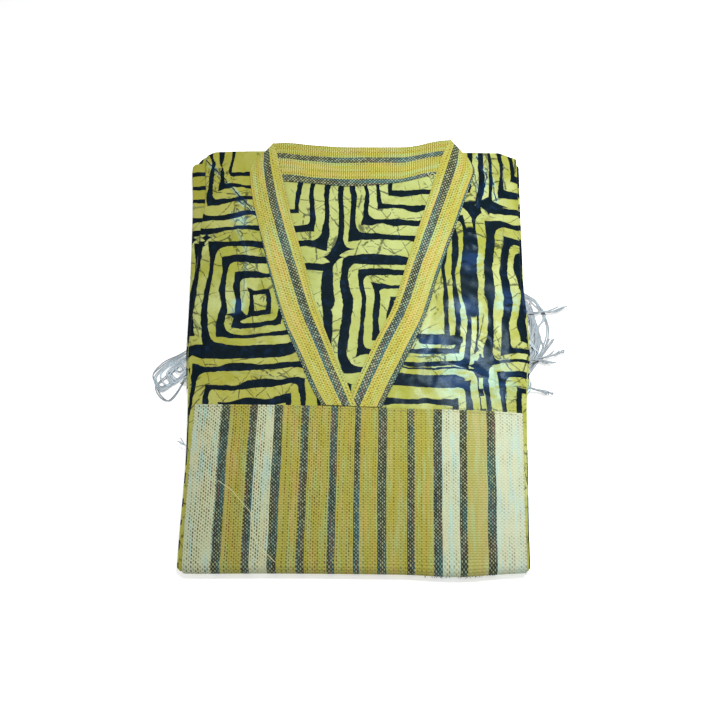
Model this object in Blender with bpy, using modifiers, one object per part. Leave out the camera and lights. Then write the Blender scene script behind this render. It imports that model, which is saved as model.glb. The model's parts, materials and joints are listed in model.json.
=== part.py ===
"""A V-neck dress in printed cotton with woven striped bands, folded flat.

Metres, +Z up. The dress lies face up: +Y points to its neck and +X to the
right as seen from above. The origin is on the table under its middle.
"""

import math

import bmesh
import bpy

MM = 0.001

# Cloth walls, each one or two plies with the air that lies between them
COTTON = 1.2 * MM
WOVEN = 1.4 * MM
GAP = 0.3 * MM
LAYER_GAP = 0.4 * MM

# Heights above the hidden layers, from the lowest wall to the highest
LIFT_BACK = LAYER_GAP
LIFT_FRONT = LIFT_BACK + COTTON + LAYER_GAP
LIFT_TRIM = LIFT_FRONT + COTTON + LAYER_GAP
WALLS = LIFT_TRIM + WOVEN
SLEEVE_BED = COTTON + LAYER_GAP

# The pile of hidden layers
TOP_Y = 214 * MM
FOLD_Y = -220.5 * MM
EDGE_HEIGHT = 13.2 * MM
CROWN = 3.2 * MM
CROWN_RUN = 95 * MM
SIDE_DROP = 2.2 * MM
SIDE_RUN = 24 * MM
NECK_DROP = 1.6 * MM
NECK_RUN = 30 * MM
PILE_INSET = 3 * MM
FLAP = 26 * MM
CORNER = 11 * MM
NEAR_CORNER = 3 * MM

# Where the folded sleeves end under the front
SLEEVE_INNER_X = 104 * MM
SLEEVE_END_Y = -50 * MM
SLEEVE_MARGIN = 8 * MM
SLEEVE_FADE = 30 * MM
SLEEVE_TOP_DROP = 3 * MM
SLEEVE_ROWS = 21
SLEEVE_SHARES = (0.0, 0.05, 0.11, 0.18, 0.27, 0.45, 0.7, 1.0)
SLEEVE_CORNER_SHARE = 0.18

# The top edge of the back, and how far below it its closely spaced rows lie
BACK_TOP_Y = TOP_Y - 1 * MM
BACK_NEAR_ROWS = (0, 8 * MM, 17 * MM, 28 * MM)
BACK_FAR_ROW = 44 * MM

# Seams
NECK_LAP = 8 * MM
SHOULDER_GAP = 1.5 * MM
YOKE_END_Y = -82 * MM
CENTRE_SEAM_X = -9.5 * MM

# Threads of the fringes
THREAD_RADIUS = 0.5 * MM
STRIP_WIDTH = 1.8 * MM
STRIP_LOW = 4.0 * MM
STRIP_HIGH = 9.4 * MM
ROOT_HEIGHTS = (4.9 * MM, 6.1 * MM, 7.3 * MM, 8.5 * MM)
LYING_HEIGHTS = (0.9 * MM, 2.1 * MM, 3.3 * MM, 4.5 * MM)
THREAD_FALL = 14 * MM

# Plan outline in mm, a row for each height on the garment
OUTLINE_COLUMNS = ("y", "under_left", "back_left", "front_left", "front_right", "back_right", "under_right")
OUTLINE = (
    (214, -183.5, -168.0, -170.0, 161.0, 160.0, 163.5),
    (200, -186.5, -169.6, -171.4, 162.3, 161.2, 164.5),
    (156, -183.5, -167.2, -168.8, 162.2, 161.0, 164.5),
    (120, -181.5, -170.2, -171.8, 161.8, 160.6, 164.5),
    (60, -179.5, -172.4, -173.6, 161.8, 161.0, 165.0),
    (10, -178.5, -175.0, -175.0, 165.8, 166.4, 168.5),
    (-10, -178.0, -176.0, -175.3, 166.4, 167.2, 168.7),
    (-30, -176.5, -175.0, -173.5, 165.0, 166.0, 167.5),
    (-70, -173.8, -172.0, -170.2, 162.3, 163.4, 165.0),
    (-130, -171.6, -170.2, -168.6, 161.0, 162.0, 163.5),
    (-205, -172.5, -171.1, -169.5, 159.6, 160.7, 162.0),
    (-250, -172.5, -171.1, -169.5, 159.6, 160.7, 162.0),
)

# Top edge of the two fronts, in mm
FRONT_TOP_COLUMNS = ("x", "y")
FRONT_TOP = (
    (-176, 200.0),
    (-170, 207.5),
    (-160, 212.4),
    (-110, 213.6),
    (105, 211.6),
    (142, 211.0),
    (154, 206.6),
    (166, 203.0),
)

# Sides of the woven panel and its top edge, in mm
PANEL_COLUMNS = ("y", "left", "right")
PANEL = (
    (-66, -164.2, 158.4),
    (-113, -165.2, 157.8),
    (-181, -165.9, 157.1),
    (-209, -165.8, 157.4),
    (-260, -165.6, 157.6),
)
PANEL_TOP_COLUMNS = ("x", "y")
PANEL_TOP = ((-166, -67.6), (-31, -70.1), (23, -72.2), (106, -74.2), (162, -76.7))

# Edges of the front neckbands in mm, a row for each station from shoulder to point
BAND_COLUMNS = ("inner_x", "inner_y", "outer_x", "outer_y")
BAND_LEFT = (
    (-98.8, 224.9, -118.3, 198.6),
    (-90.7, 192.4, -122.6, 185.5),
    (-82.0, 157.0, -117.2, 150.5),
    (-75.2, 129.0, -109.6, 121.0),
    (-61.0, 82.0, -97.0, 72.5),
    (-46.0, 31.0, -80.6, 19.5),
    (-29.0, -12.7, -61.4, -24.5),
    (-14.6, -46.2, -46.0, -57.5),
    (-4.3, -70.6, -38.2, -69.3),
)
BAND_RIGHT = (
    (91.1, 228.7, 111.4, 201.7),
    (80.6, 202.6, 116.8, 187.0),
    (72.5, 174.0, 108.2, 161.0),
    (60.0, 132.0, 94.6, 119.5),
    (45.0, 83.0, 77.8, 71.0),
    (30.0, 33.0, 63.4, 22.8),
    (12.0, -5.0, 45.2, -19.0),
    (-3.4, -41.0, 28.0, -54.5),
    (-8.6, -56.0, 24.0, -63.0),
    (-2.9, -70.9, 20.0, -71.4),
)

# The back neckband in mm, a row for each place along it
BACK_BAND_COLUMNS = ("x", "low_y", "high_y")
BACK_BAND = (
    (-106, 176.5, 214.0),
    (-98, 176.2, 224.0),
    (-88, 175.5, 224.6),
    (-56, 173.0, 221.3),
    (-17, 169.8, 218.8),
    (37, 173.5, 218.8),
    (74, 182.6, 226.6),
    (89, 187.5, 228.2),
    (99, 190.5, 216.0),
)
SHOULDER_SLOPE = 0.8

# Broad swells of the pressed pile, in mm
SWELL_COLUMNS = ("x", "y", "reach_x", "reach_y", "height")
SWELLS = (
    (-112, 118, 42, 58, 1.1),
    (124, 92, 38, 66, 1.0),
    (-62, -128, 58, 46, 0.8),
    (78, -146, 66, 42, 0.9),
    (4, 62, 46, 58, -0.8),
    (132, -18, 34, 40, -0.7),
    (-132, -12, 40, 34, 0.8),
)

# Section of the pile's edge: height and how far the edge draws in, in mm.
# The low rows stand behind the flap of the bottom fold, the high rows are
# shares of the height that is left, and each groove parts two layers.
LOW_COLUMNS = ("height", "inset")
LOW_SECTION = ((0.0, 1.8), (0.5, 0.5), (1.7, 0.5), (2.3, 2.6), (2.9, 0.0), (4.1, 0.2))
HIGH_COLUMNS = ("share", "inset")
HIGH_SECTION = (
    (0.0, 2.6),
    (0.09, 0.7),
    (0.27, 0.7),
    (0.36, 2.8),
    (0.45, 0.2),
    (0.63, 0.3),
    (0.72, 2.8),
    (0.81, 0.6),
    (1.0, 1.8),
)
CAP_SHARES = (0.975, 0.94, 0.9, 0.84, 0.74, 0.6, 0.42, 0.22)

# Threads as loops and as loose ends: mm, with the level that each lies on
LOOP_COLUMNS = ("level", "root_y", "half_width", "belly", "reach", "lean")
LEFT_LOOPS = (
    (0, -22, 3.0, 2.0, 20, -24),
    (0, -22, 6.0, 4.0, 28, -27),
    (0, -22, 9.0, 6.5, 35, -29),
    (1, -20, 3.5, 1.5, 14, -3),
    (1, -20, 7.0, 2.5, 22, -4),
    (1, -20, 10.5, 3.5, 30, -5),
    (1, -20, 14.0, 4.0, 37, -6),
    (2, -17, 2.5, 3.0, 12, -12),
    (2, -17, 5.5, 4.5, 21, -15),
    (2, -17, 8.5, 6.0, 29, -18),
    (3, -24, 3.0, 3.0, 17, -8),
    (3, -24, 7.0, 4.0, 25, -12),
)
RIGHT_LOOPS = (
    (0, 3, 50, 0, 22, 6),
    (0, 3, 46, 0, 18, 4),
    (0, 3, 42, 0, 14, 2),
    (1, 10, 36, 0, 16, -8),
    (1, 10, 32, 0, 12, -6),
    (1, 10, 28, 0, 8, -4),
    (2, 6, 30, 1, 13, -16),
    (2, 6, 25, 1, 9, -14),
)
END_COLUMNS = ("level", "root_y", "reach", "rise", "sway")
LEFT_ENDS = ((3, -38, 9, -5, 1),)
RIGHT_ENDS = (
    (3, 30, 46, 9, 2),
    (3, -10, 28, 15, -3),
    (3, -15, 34, 8, -2),
    (3, -21, 28, 2, 2),
    (3, -46, 24, -6, 2),
)
STRIPS_Y = {"left": (-41 * MM, -3 * MM), "right": (-52 * MM, 57 * MM)}

MATERIALS = {
    "printed_cotton": ((0.62, 0.58, 0.09, 1.0), 0.55),
    "inner_cotton": ((0.66, 0.64, 0.20, 1.0), 0.7),
    "striped_cloth": ((0.64, 0.50, 0.13, 1.0), 0.85),
    "thread": ((0.86, 0.89, 0.93, 1.0), 0.9),
}


def column(rows, columns, at_name, value_name):
    """Function that reads one column of a table against another, as a smooth curve."""
    at_index = columns.index(at_name)
    value_index = columns.index(value_name)
    points = sorted((row[at_index] * MM, row[value_index] * MM) for row in rows)
    places = [p[0] for p in points]
    values = [p[1] for p in points]
    steps = [(values[i + 1] - values[i]) / (places[i + 1] - places[i]) for i in range(len(points) - 1)]
    slopes = [steps[0]]
    for before, after in zip(steps, steps[1:]):
        flat = before * after <= 0
        slopes.append(0.0 if flat else 2 * before * after / (before + after))
    slopes.append(steps[-1])

    def read(at):
        if at <= places[0]:
            return values[0] + slopes[0] * (at - places[0])
        if at >= places[-1]:
            return values[-1] + slopes[-1] * (at - places[-1])
        i = max(k for k, place in enumerate(places) if place <= at)
        i = min(i, len(places) - 2)
        span = places[i + 1] - places[i]
        t = (at - places[i]) / span
        rise = (3 - 2 * t) * t * t
        bend = slopes[i] * t * (1 - t) ** 2 - slopes[i + 1] * t * t * (1 - t)
        return values[i] + (values[i + 1] - values[i]) * rise + span * bend

    return read


def outline_column(name):
    return column(OUTLINE, OUTLINE_COLUMNS, "y", name)


under_left = outline_column("under_left")
under_right = outline_column("under_right")
back_left = outline_column("back_left")
back_right = outline_column("back_right")
front_left = outline_column("front_left")
front_right = outline_column("front_right")
front_top = column(FRONT_TOP, FRONT_TOP_COLUMNS, "x", "y")
panel_left = column(PANEL, PANEL_COLUMNS, "y", "left")
panel_right = column(PANEL, PANEL_COLUMNS, "y", "right")
panel_top = column(PANEL_TOP, PANEL_TOP_COLUMNS, "x", "y")
neck_left = column(BAND_LEFT, BAND_COLUMNS, "inner_y", "inner_x")
neck_right = column(BAND_RIGHT[:-1], BAND_COLUMNS, "inner_y", "inner_x")
back_band_low = column(BACK_BAND, BACK_BAND_COLUMNS, "x", "low_y")
back_band_high = column(BACK_BAND, BACK_BAND_COLUMNS, "x", "high_y")


def mix(a, b, t):
    return a + (b - a) * t


def ease(t):
    """Smooth step from 0 to 1."""
    t = min(max(t, 0.0), 1.0)
    return t * t * (3 - 2 * t)


def swell(x, y):
    """Height of the pile's broad swells, which die out towards the bottom fold."""
    total = 0.0
    for row in SWELLS:
        cx, cy, reach_x, reach_y, height = (value * MM for value in row)
        total += height * math.exp(-(((x - cx) / reach_x) ** 2) - ((y - cy) / reach_y) ** 2)
    return total * ease((y - FOLD_Y) / (60 * MM))


def arch(distance, run):
    """0 at an edge and 1 from `run` inwards, steepest at the edge."""
    left = 1 - min(max(distance / run, 0.0), 1.0)
    return 1 - left * left


def cover_top(x, y):
    """Height that the back, the front and the trim are laid on."""
    side = min(x - under_left(y), under_right(y) - x)
    crown = CROWN * arch(side, CROWN_RUN) * arch(TOP_Y - y, CROWN_RUN) * arch(y - FOLD_Y, CROWN_RUN)
    drop = SIDE_DROP * (1 - arch(side, SIDE_RUN))
    drop += NECK_DROP * (max(0.0, y - TOP_Y + NECK_RUN) / NECK_RUN) ** 2
    return EDGE_HEIGHT + crown + swell(x, y) - drop


def pile_top(x, y):
    """Height of the top of the hidden layers, lower where a folded sleeve lies on them."""
    beside = ease((abs(x) - SLEEVE_INNER_X + SLEEVE_MARGIN + SLEEVE_FADE) / SLEEVE_FADE)
    below = ease((y - SLEEVE_END_Y + SLEEVE_MARGIN + SLEEVE_FADE) / SLEEVE_FADE)
    return cover_top(x, y) - SLEEVE_BED * beside * below


def laid(x, along, lift):
    """Point of a cloth at this lift. Past the bottom fold it turns round under the pile."""
    if along >= FOLD_Y:
        return (x, along, cover_top(x, along) + lift)
    radius = (cover_top(x, FOLD_Y) - WALLS) / 2
    centre = WALLS + radius
    turn = (FOLD_Y - along) / (math.pi / 2 * EDGE_HEIGHT)
    if turn <= 1:
        angle = math.pi * turn
        return (x, FOLD_Y - (radius + lift) * math.sin(angle), centre + (radius + lift) * math.cos(angle))
    return (x, along_flap(along), centre - radius - lift)


def along_flap(along):
    """World Y of a point that lies past the whole turn of the fold."""
    return FOLD_Y + (FOLD_Y - along) - math.pi / 2 * EDGE_HEIGHT


TURN_END = FOLD_Y - math.pi / 2 * EDGE_HEIGHT
FLAP_END = TURN_END - FLAP + 1 * MM


def spaced(first, last, count):
    return [mix(first, last, i / (count - 1)) for i in range(count)]


def fold_stations(first, flat_count, turn_count, flap_count=0):
    """Places along a cloth from `first` to the bottom fold, round it, and on along its flap."""
    places = spaced(first, FOLD_Y, flat_count)
    places += spaced(FOLD_Y, TURN_END, turn_count)[1:]
    if flap_count:
        places += spaced(TURN_END, FLAP_END, flap_count)[1:]
    return places


def material(name):
    found = bpy.data.materials.get(name)
    if found:
        return found
    colour, roughness = MATERIALS[name]
    made = bpy.data.materials.new(name)
    made.use_nodes = True
    shader = made.node_tree.nodes["Principled BSDF"]
    shader.inputs["Base Color"].default_value = colour
    shader.inputs["Roughness"].default_value = roughness
    shader.inputs["Metallic"].default_value = 0.0
    return made


def add_object(name, mesh, material_name, collection):
    mesh.materials.append(material(material_name))
    mesh.shade_smooth()
    mesh.set_sharp_from_angle(angle=math.radians(40))
    made = bpy.data.objects.new(name, mesh)
    collection.objects.link(made)
    return made


def cloth(name, grid, wall, material_name, collection):
    """Cloth wall over a grid of points, thickened upwards."""
    shape = bmesh.new()
    rows = [[shape.verts.new(point) for point in row] for row in grid]
    for low, high in zip(rows, rows[1:]):
        for i in range(len(low) - 1):
            shape.faces.new((low[i], low[i + 1], high[i + 1], high[i]))
    shape.normal_update()
    if sum(face.normal.z * face.calc_area() for face in list(shape.faces)[: len(rows[0]) - 1]) < 0:
        bmesh.ops.reverse_faces(shape, faces=shape.faces[:])
    mesh = bpy.data.meshes.new(name)
    shape.to_mesh(mesh)
    shape.free()
    made = add_object(name, mesh, material_name, collection)
    solidify = made.modifiers.new("Wall", "SOLIDIFY")
    solidify.thickness = wall
    solidify.offset = 1.0
    solidify.use_even_offset = True
    return made


def plan_ring(near, inset):
    """Outline of the pile seen from above, anticlockwise from the near left corner.

    `near` gives the Y of the near side at each X.
    """
    high = TOP_Y - PILE_INSET - inset

    def left_x(y):
        return under_left(y) + PILE_INSET + inset

    def right_x(y):
        return under_right(y) - PILE_INSET - inset

    def arc(turn):
        return CORNER * (1 - math.sin(math.pi / 2 * turn))

    rim = FOLD_Y + NEAR_CORNER
    ring = []
    for x in spaced(left_x(rim) + NEAR_CORNER, right_x(rim) - NEAR_CORNER, 14):
        ring.append((x, near(x)))
    for y in spaced(near(right_x(rim)) + NEAR_CORNER, high - CORNER, 14):
        ring.append((right_x(y), y))
    for turn in (1 / 3, 2 / 3, 1):
        ring.append((right_x(high - CORNER) - arc(1 - turn), high - arc(turn)))
    for x in spaced(right_x(high - CORNER) - CORNER, left_x(high - CORNER) + CORNER, 15)[1:]:
        ring.append((x, high))
    for turn in (2 / 3, 1 / 3):
        ring.append((left_x(high - CORNER) + arc(1 - turn), high - arc(turn)))
    for y in spaced(high - CORNER, near(left_x(rim)) + NEAR_CORNER, 14):
        ring.append((left_x(y), y))
    return ring


def pile_near(share):
    """Near side of the pile at this share of its height: a half round for the bottom fold."""
    bulge = math.sqrt(max(0.0, 1 - (2 * share - 1) ** 2))
    return lambda x: FOLD_Y - bulge * (cover_top(x, FOLD_Y) - WALLS) / 2


def build_pile(collection):
    """Hidden layers of skirt and side cloth: one solid, grooved where layers part."""
    loops = []
    for height, inset in LOW_SECTION:
        ring = plan_ring(lambda x: FOLD_Y + FLAP, inset * MM)
        loops.append([(x, y, height * MM) for x, y in ring])
    for share, inset in HIGH_SECTION:
        ring = plan_ring(pile_near(share), inset * MM)
        loops.append([(x, y, mix(WALLS, pile_top(x, y), share)) for x, y in ring])
    rim = loops[-1]
    middle_x = sum(point[0] for point in rim) / len(rim)
    middle_y = (FOLD_Y + TOP_Y) / 2
    for share in CAP_SHARES:
        cap = [(mix(middle_x, p[0], share), mix(middle_y, p[1], share)) for p in rim]
        loops.append([(x, y, pile_top(x, y)) for x, y in cap])
    shape = bmesh.new()
    rings = [[shape.verts.new(point) for point in loop] for loop in loops]
    count = len(rings[0])
    for low, high in zip(rings, rings[1:]):
        for i in range(count):
            j = (i + 1) % count
            shape.faces.new((low[i], low[j], high[j], high[i]))
    shape.faces.new(list(reversed(rings[0])))
    top = shape.verts.new((middle_x, middle_y, pile_top(middle_x, middle_y)))
    for i in range(count):
        shape.faces.new((rings[-1][i], rings[-1][(i + 1) % count], top))
    bmesh.ops.triangulate(shape, faces=shape.faces[:])
    mesh = bpy.data.meshes.new("folded_skirt_layers")
    shape.to_mesh(mesh)
    shape.free()
    add_object("folded_skirt_layers", mesh, "printed_cotton", collection)


def build_sleeves(collection):
    """Sleeves folded under the front: their outer folds are the widest edge at the top."""
    for name, edge, inner_x in (
        ("sleeve_left", under_left, -SLEEVE_INNER_X),
        ("sleeve_right", under_right, SLEEVE_INNER_X),
    ):
        grid = []
        for share in spaced(0.0, 1.0, SLEEVE_ROWS):
            row = []
            for across in SLEEVE_SHARES:
                corner_cut = CORNER * (1 - arch(across, SLEEVE_CORNER_SHARE)) + SLEEVE_TOP_DROP
                y = mix(SLEEVE_END_Y, TOP_Y - corner_cut, share)
                row.append(laid(mix(edge(y), inner_x, across), y, LAYER_GAP - SLEEVE_BED))
            grid.append(row)
        cloth(name, grid, COTTON, "printed_cotton", collection)


def across_all(left, right):
    """Places from one side of the dress to the other, closer together near its sides."""
    shares = (0.0, 0.02, 0.045, 0.08, 0.14, 0.22, 0.31, 0.4)
    shares += (0.5,) + tuple(1 - share for share in reversed(shares))
    return [mix(left, right, share) for share in shares]


def build_back(collection):
    grid = []
    near_top = [BACK_TOP_Y - down for down in BACK_NEAR_ROWS]
    for along in near_top + fold_stations(BACK_TOP_Y - BACK_FAR_ROW, 15, 7):
        y = max(along, FOLD_Y)
        grid.append([laid(x, along, LIFT_BACK) for x in across_all(back_left(y), back_right(y))])
    cloth("dress_back", grid, COTTON, "inner_cotton", collection)


def yoke_inner_left(y):
    return min(neck_left(y) - NECK_LAP, CENTRE_SEAM_X - GAP / 2)


def yoke_inner_right(y):
    return max(neck_right(y) + NECK_LAP, CENTRE_SEAM_X + GAP / 2)


def build_yokes(collection):
    """The printed fronts on each side of the neck. The neckbands lap over their inner edges."""
    for name, outer, inner in (
        ("front_yoke_left", front_left, yoke_inner_left),
        ("front_yoke_right", front_right, yoke_inner_right),
    ):
        grid = []
        for share in spaced(0.0, 1.0, 19):
            row = []
            for across in (0.0, 0.04, 0.1, 0.18, 0.3, 0.46, 0.63, 0.81, 1.0):
                guess_y = mix(YOKE_END_Y, TOP_Y, share)
                guess_x = mix(outer(guess_y), inner(guess_y), across)
                y = mix(YOKE_END_Y, front_top(guess_x), share)
                row.append(laid(mix(outer(y), inner(y), across), y, LIFT_FRONT))
            grid.append(row)
        cloth(name, grid, COTTON, "printed_cotton", collection)


def build_skirt_front(collection):
    """Printed cloth under the woven panel, carried round the bottom fold."""
    grid = []
    for along in fold_stations(YOKE_END_Y - GAP, 8, 8, 3):
        y = max(along, FOLD_Y)
        grid.append([laid(x, along, LIFT_FRONT) for x in across_all(front_left(y), front_right(y))])
    cloth("skirt_front", grid, COTTON, "printed_cotton", collection)


def build_panel(collection):
    """Woven striped panel. Its top edge is a hem that slants a little."""
    grid = []
    for place, along in enumerate(fold_stations(PANEL_TOP[0][1] * MM, 10, 8, 3)):
        y = max(along, FOLD_Y)
        row = []
        for x in across_all(panel_left(y), panel_right(y)):
            slant = (panel_top(x) - PANEL_TOP[0][1] * MM) * (1 - ease(place / 9))
            row.append(laid(x, along + slant, LIFT_TRIM))
        grid.append(row)
    cloth("woven_panel", grid, WOVEN, "striped_cloth", collection)


def stations(rows, count):
    """Smooth rows through the stations of a band, each as its inner and outer points."""
    span = len(rows) - 1
    placed = [tuple([i / MM] + list(row)) for i, row in enumerate(rows)]
    names = ("place",) + BAND_COLUMNS
    reads = [column(placed, names, "place", name) for name in BAND_COLUMNS]
    return [[read(t) for read in reads] for t in spaced(0, span, count)]


def build_front_bands(collection):
    for name, rows in (("neckband_left", BAND_LEFT), ("neckband_right", BAND_RIGHT)):
        grid = []
        for inner_x, inner_y, outer_x, outer_y in stations(rows, 19):
            row = []
            for across in spaced(0.0, 1.0, 5):
                x = mix(inner_x, outer_x, across)
                y = mix(inner_y, outer_y, across)
                row.append(laid(x, y, LIFT_TRIM))
            grid.append(row)
        cloth(name, grid, WOVEN, "striped_cloth", collection)


def back_band_left(y):
    shoulder = (BAND_LEFT[0][0] * MM) - SHOULDER_SLOPE * (BAND_LEFT[0][1] * MM - y) + SHOULDER_GAP
    return max(neck_left(y) - NECK_LAP + 1 * MM, shoulder)


def back_band_right(y):
    shoulder = (BAND_RIGHT[0][0] * MM) + SHOULDER_SLOPE * (BAND_RIGHT[0][1] * MM - y) - SHOULDER_GAP
    return min(neck_right(y) + NECK_LAP - 1 * MM, shoulder)


def build_back_band(collection):
    """The neckband along the back, whose ends run under the front bands."""
    grid = []
    for share in spaced(0.0, 1.0, 6):
        row = []
        for across in spaced(0.0, 1.0, 16):
            guess_x = mix(BACK_BAND[1][0] * MM, BACK_BAND[-2][0] * MM, across)
            y = mix(back_band_low(guess_x), back_band_high(guess_x), share)
            x = mix(back_band_left(y), back_band_right(y), across)
            row.append(laid(x, y, LIFT_TRIM - GAP - WOVEN))
        grid.append(row)
    cloth("neckband_back", grid, WOVEN, "striped_cloth", collection)


def thread_height(level, reach):
    """A thread leaves the strip at its level's root height and falls to where it lies."""
    return mix(ROOT_HEIGHTS[level], LYING_HEIGHTS[level], ease(reach / THREAD_FALL))


def loop_path(row, side):
    level, root_y, half_width, belly, reach, lean = row
    points = []
    for angle in spaced(0.0, math.pi, 13):
        out = max(0.0, math.sin(angle)) ** 0.75
        width = half_width + belly * out * (1 - 0.35 * out)
        y = root_y + width * math.cos(angle) + lean * out ** 1.6
        points.append(thread_point(level, reach * out * MM, y * MM, side))
    return points


def end_path(row, side):
    level, root_y, reach, rise, sway = row
    points = []
    for t in spaced(0.0, 1.0, 9):
        y = root_y + rise * t ** 1.5 + sway * math.sin(2 * math.pi * t) * t
        points.append(thread_point(level, reach * t * MM, y * MM, side))
    return points


def strip_outer(y, side):
    """World X of the outer face of the narrow strip that carries the threads."""
    if side == "left":
        return under_left(y) + PILE_INSET - GAP - STRIP_WIDTH
    return under_right(y) - PILE_INSET + GAP + STRIP_WIDTH


def thread_point(level, out, y, side):
    sign = -1 if side == "left" else 1
    low, high = STRIPS_Y[side]
    root = strip_outer(min(max(y, low), high), side)
    return (root + sign * (out - STRIP_WIDTH / 2), y, thread_height(level, out))


def thread_tube(name, points, collection):
    """Closed tube of 4 sides along a thread, as a mesh."""
    curve = bpy.data.curves.new(name, "CURVE")
    curve.dimensions = "3D"
    curve.bevel_depth = THREAD_RADIUS
    curve.bevel_resolution = 0
    curve.use_fill_caps = True
    spline = curve.splines.new("POLY")
    spline.points.add(len(points) - 1)
    for target, point in zip(spline.points, points):
        target.co = (*point, 1.0)
    guide = bpy.data.objects.new(name + "_guide", curve)
    collection.objects.link(guide)
    bpy.context.view_layer.update()
    graph = bpy.context.evaluated_depsgraph_get()
    mesh = bpy.data.meshes.new_from_object(guide.evaluated_get(graph))
    shape = bmesh.new()
    shape.from_mesh(mesh)
    bmesh.ops.remove_doubles(shape, verts=shape.verts[:], dist=0.01 * MM)
    bmesh.ops.recalc_face_normals(shape, faces=shape.faces[:])
    shape.to_mesh(mesh)
    shape.free()
    bpy.data.objects.remove(guide)
    bpy.data.curves.remove(curve)
    made = bpy.data.objects.new(name, mesh)
    collection.objects.link(made)
    made.hide_render = True
    made.display_type = "WIRE"
    return made


def build_fringe(name, side, loops, ends, collection, helpers):
    """A narrow strip along the folded edge with its threads grown out of it."""
    threads = bpy.data.collections.new(name + "_threads")
    helpers.children.link(threads)
    paths = [loop_path(row, side) for row in loops] + [end_path(row, side) for row in ends]
    for i, points in enumerate(paths):
        thread_tube(f"{name}_thread_{i}", points, threads)
    sign = -1 if side == "left" else 1
    low, high = STRIPS_Y[side]
    shape = bmesh.new()
    rings = []
    for y in spaced(low, high, 8):
        outer = strip_outer(y, side)
        inner = outer - sign * STRIP_WIDTH
        corners = ((inner, STRIP_LOW), (outer, STRIP_LOW), (outer, STRIP_HIGH), (inner, STRIP_HIGH))
        rings.append([shape.verts.new((x, y, z)) for x, z in corners])
    for before, after in zip(rings, rings[1:]):
        for i in range(4):
            j = (i + 1) % 4
            shape.faces.new((before[i], before[j], after[j], after[i]))
    shape.faces.new(rings[0])
    shape.faces.new(rings[-1])
    bmesh.ops.recalc_face_normals(shape, faces=shape.faces[:])
    mesh = bpy.data.meshes.new(name)
    shape.to_mesh(mesh)
    shape.free()
    strip = add_object(name, mesh, "thread", collection)
    joined = strip.modifiers.new("Threads", "BOOLEAN")
    joined.operation = "UNION"
    joined.operand_type = "COLLECTION"
    joined.collection = threads


def main():
    for old in list(bpy.data.objects):
        bpy.data.objects.remove(old, do_unlink=True)
    scene = bpy.context.scene.collection
    dress = bpy.data.collections.new("folded_dress")
    helpers = bpy.data.collections.new("thread_guides")
    scene.children.link(dress)
    scene.children.link(helpers)
    build_pile(dress)
    build_sleeves(dress)
    build_back(dress)
    build_yokes(dress)
    build_skirt_front(dress)
    build_panel(dress)
    build_front_bands(dress)
    build_back_band(dress)
    build_fringe("fringe_left", "left", LEFT_LOOPS, LEFT_ENDS, dress, helpers)
    build_fringe("fringe_right", "right", RIGHT_LOOPS, RIGHT_ENDS, dress, helpers)


main()
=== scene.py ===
"""Looks of the folded dress: finer cloth, print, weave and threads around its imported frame.

Metres, +Z up, in the frame's own axes: +Y points to the neck, +X to the right as seen from above.
Tables give real sizes in millimetres, in the same order as the part's own.
"""

import json
import math
import random

import bpy
import numpy as np
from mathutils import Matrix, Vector

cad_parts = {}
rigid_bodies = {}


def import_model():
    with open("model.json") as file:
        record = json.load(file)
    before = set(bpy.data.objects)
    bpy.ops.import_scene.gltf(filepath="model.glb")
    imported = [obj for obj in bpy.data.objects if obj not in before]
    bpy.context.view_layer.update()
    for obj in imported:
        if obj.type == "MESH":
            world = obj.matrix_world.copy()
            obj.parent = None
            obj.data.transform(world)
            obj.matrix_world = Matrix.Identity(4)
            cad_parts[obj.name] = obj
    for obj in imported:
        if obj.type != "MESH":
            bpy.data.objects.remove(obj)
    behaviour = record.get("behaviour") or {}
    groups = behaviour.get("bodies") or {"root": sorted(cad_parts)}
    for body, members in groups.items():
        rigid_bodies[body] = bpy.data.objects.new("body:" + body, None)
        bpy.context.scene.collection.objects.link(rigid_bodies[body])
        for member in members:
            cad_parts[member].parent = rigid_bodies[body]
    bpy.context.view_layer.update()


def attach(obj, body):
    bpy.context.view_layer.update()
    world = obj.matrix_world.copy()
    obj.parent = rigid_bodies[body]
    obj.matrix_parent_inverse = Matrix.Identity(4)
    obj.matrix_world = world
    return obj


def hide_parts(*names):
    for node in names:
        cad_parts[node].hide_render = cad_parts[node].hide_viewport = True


MM = 0.001
ROOT = "root"

# Cloth walls and the heights that they lie at, as in the part
COTTON = 1.2 * MM
WOVEN = 1.4 * MM
LAYER_GAP = 0.4 * MM
BAND_GAP = 0.3 * MM
LIFT_BACK = LAYER_GAP + COTTON
LIFT_FRONT = LIFT_BACK + LAYER_GAP + COTTON
LIFT_TRIM = LIFT_FRONT + LAYER_GAP + WOVEN
LIFT_BACK_BAND = LIFT_TRIM - WOVEN - BAND_GAP
SLEEVE_BED = COTTON + LAYER_GAP

TOP_Y = 214 * MM
FOLD_Y = -220.5 * MM
EDGE_HEIGHT = 13.2 * MM
CROWN = 3.2 * MM
CROWN_RUN = 95 * MM
SIDE_DROP = 2.2 * MM
SIDE_RUN = 24 * MM
NECK_DROP = 1.6 * MM
NECK_RUN = 30 * MM
SWELL_FADE = 60 * MM
PILE_INSET = 3 * MM
FLAP = 26 * MM
PILE_CORNER = 19 * MM
SLEEVE_INNER_X = 104 * MM
SLEEVE_END_Y = -50 * MM
SLEEVE_MARGIN = 8 * MM
SLEEVE_FADE = 30 * MM
NECK_LAP = 8 * MM
YOKE_END_Y = -82 * MM
CENTRE_SEAM_X = -9.5 * MM
HALF_GAP = 0.15 * MM

# The cloths that turn under the pile hold it up by the height of the trim on them
TRIM_TOP = LIFT_TRIM
TURN_LENGTH = math.pi / 2 * EDGE_HEIGHT
TURN_END = FOLD_Y - TURN_LENGTH
FLAP_END = TURN_END - FLAP + 1 * MM

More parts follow.
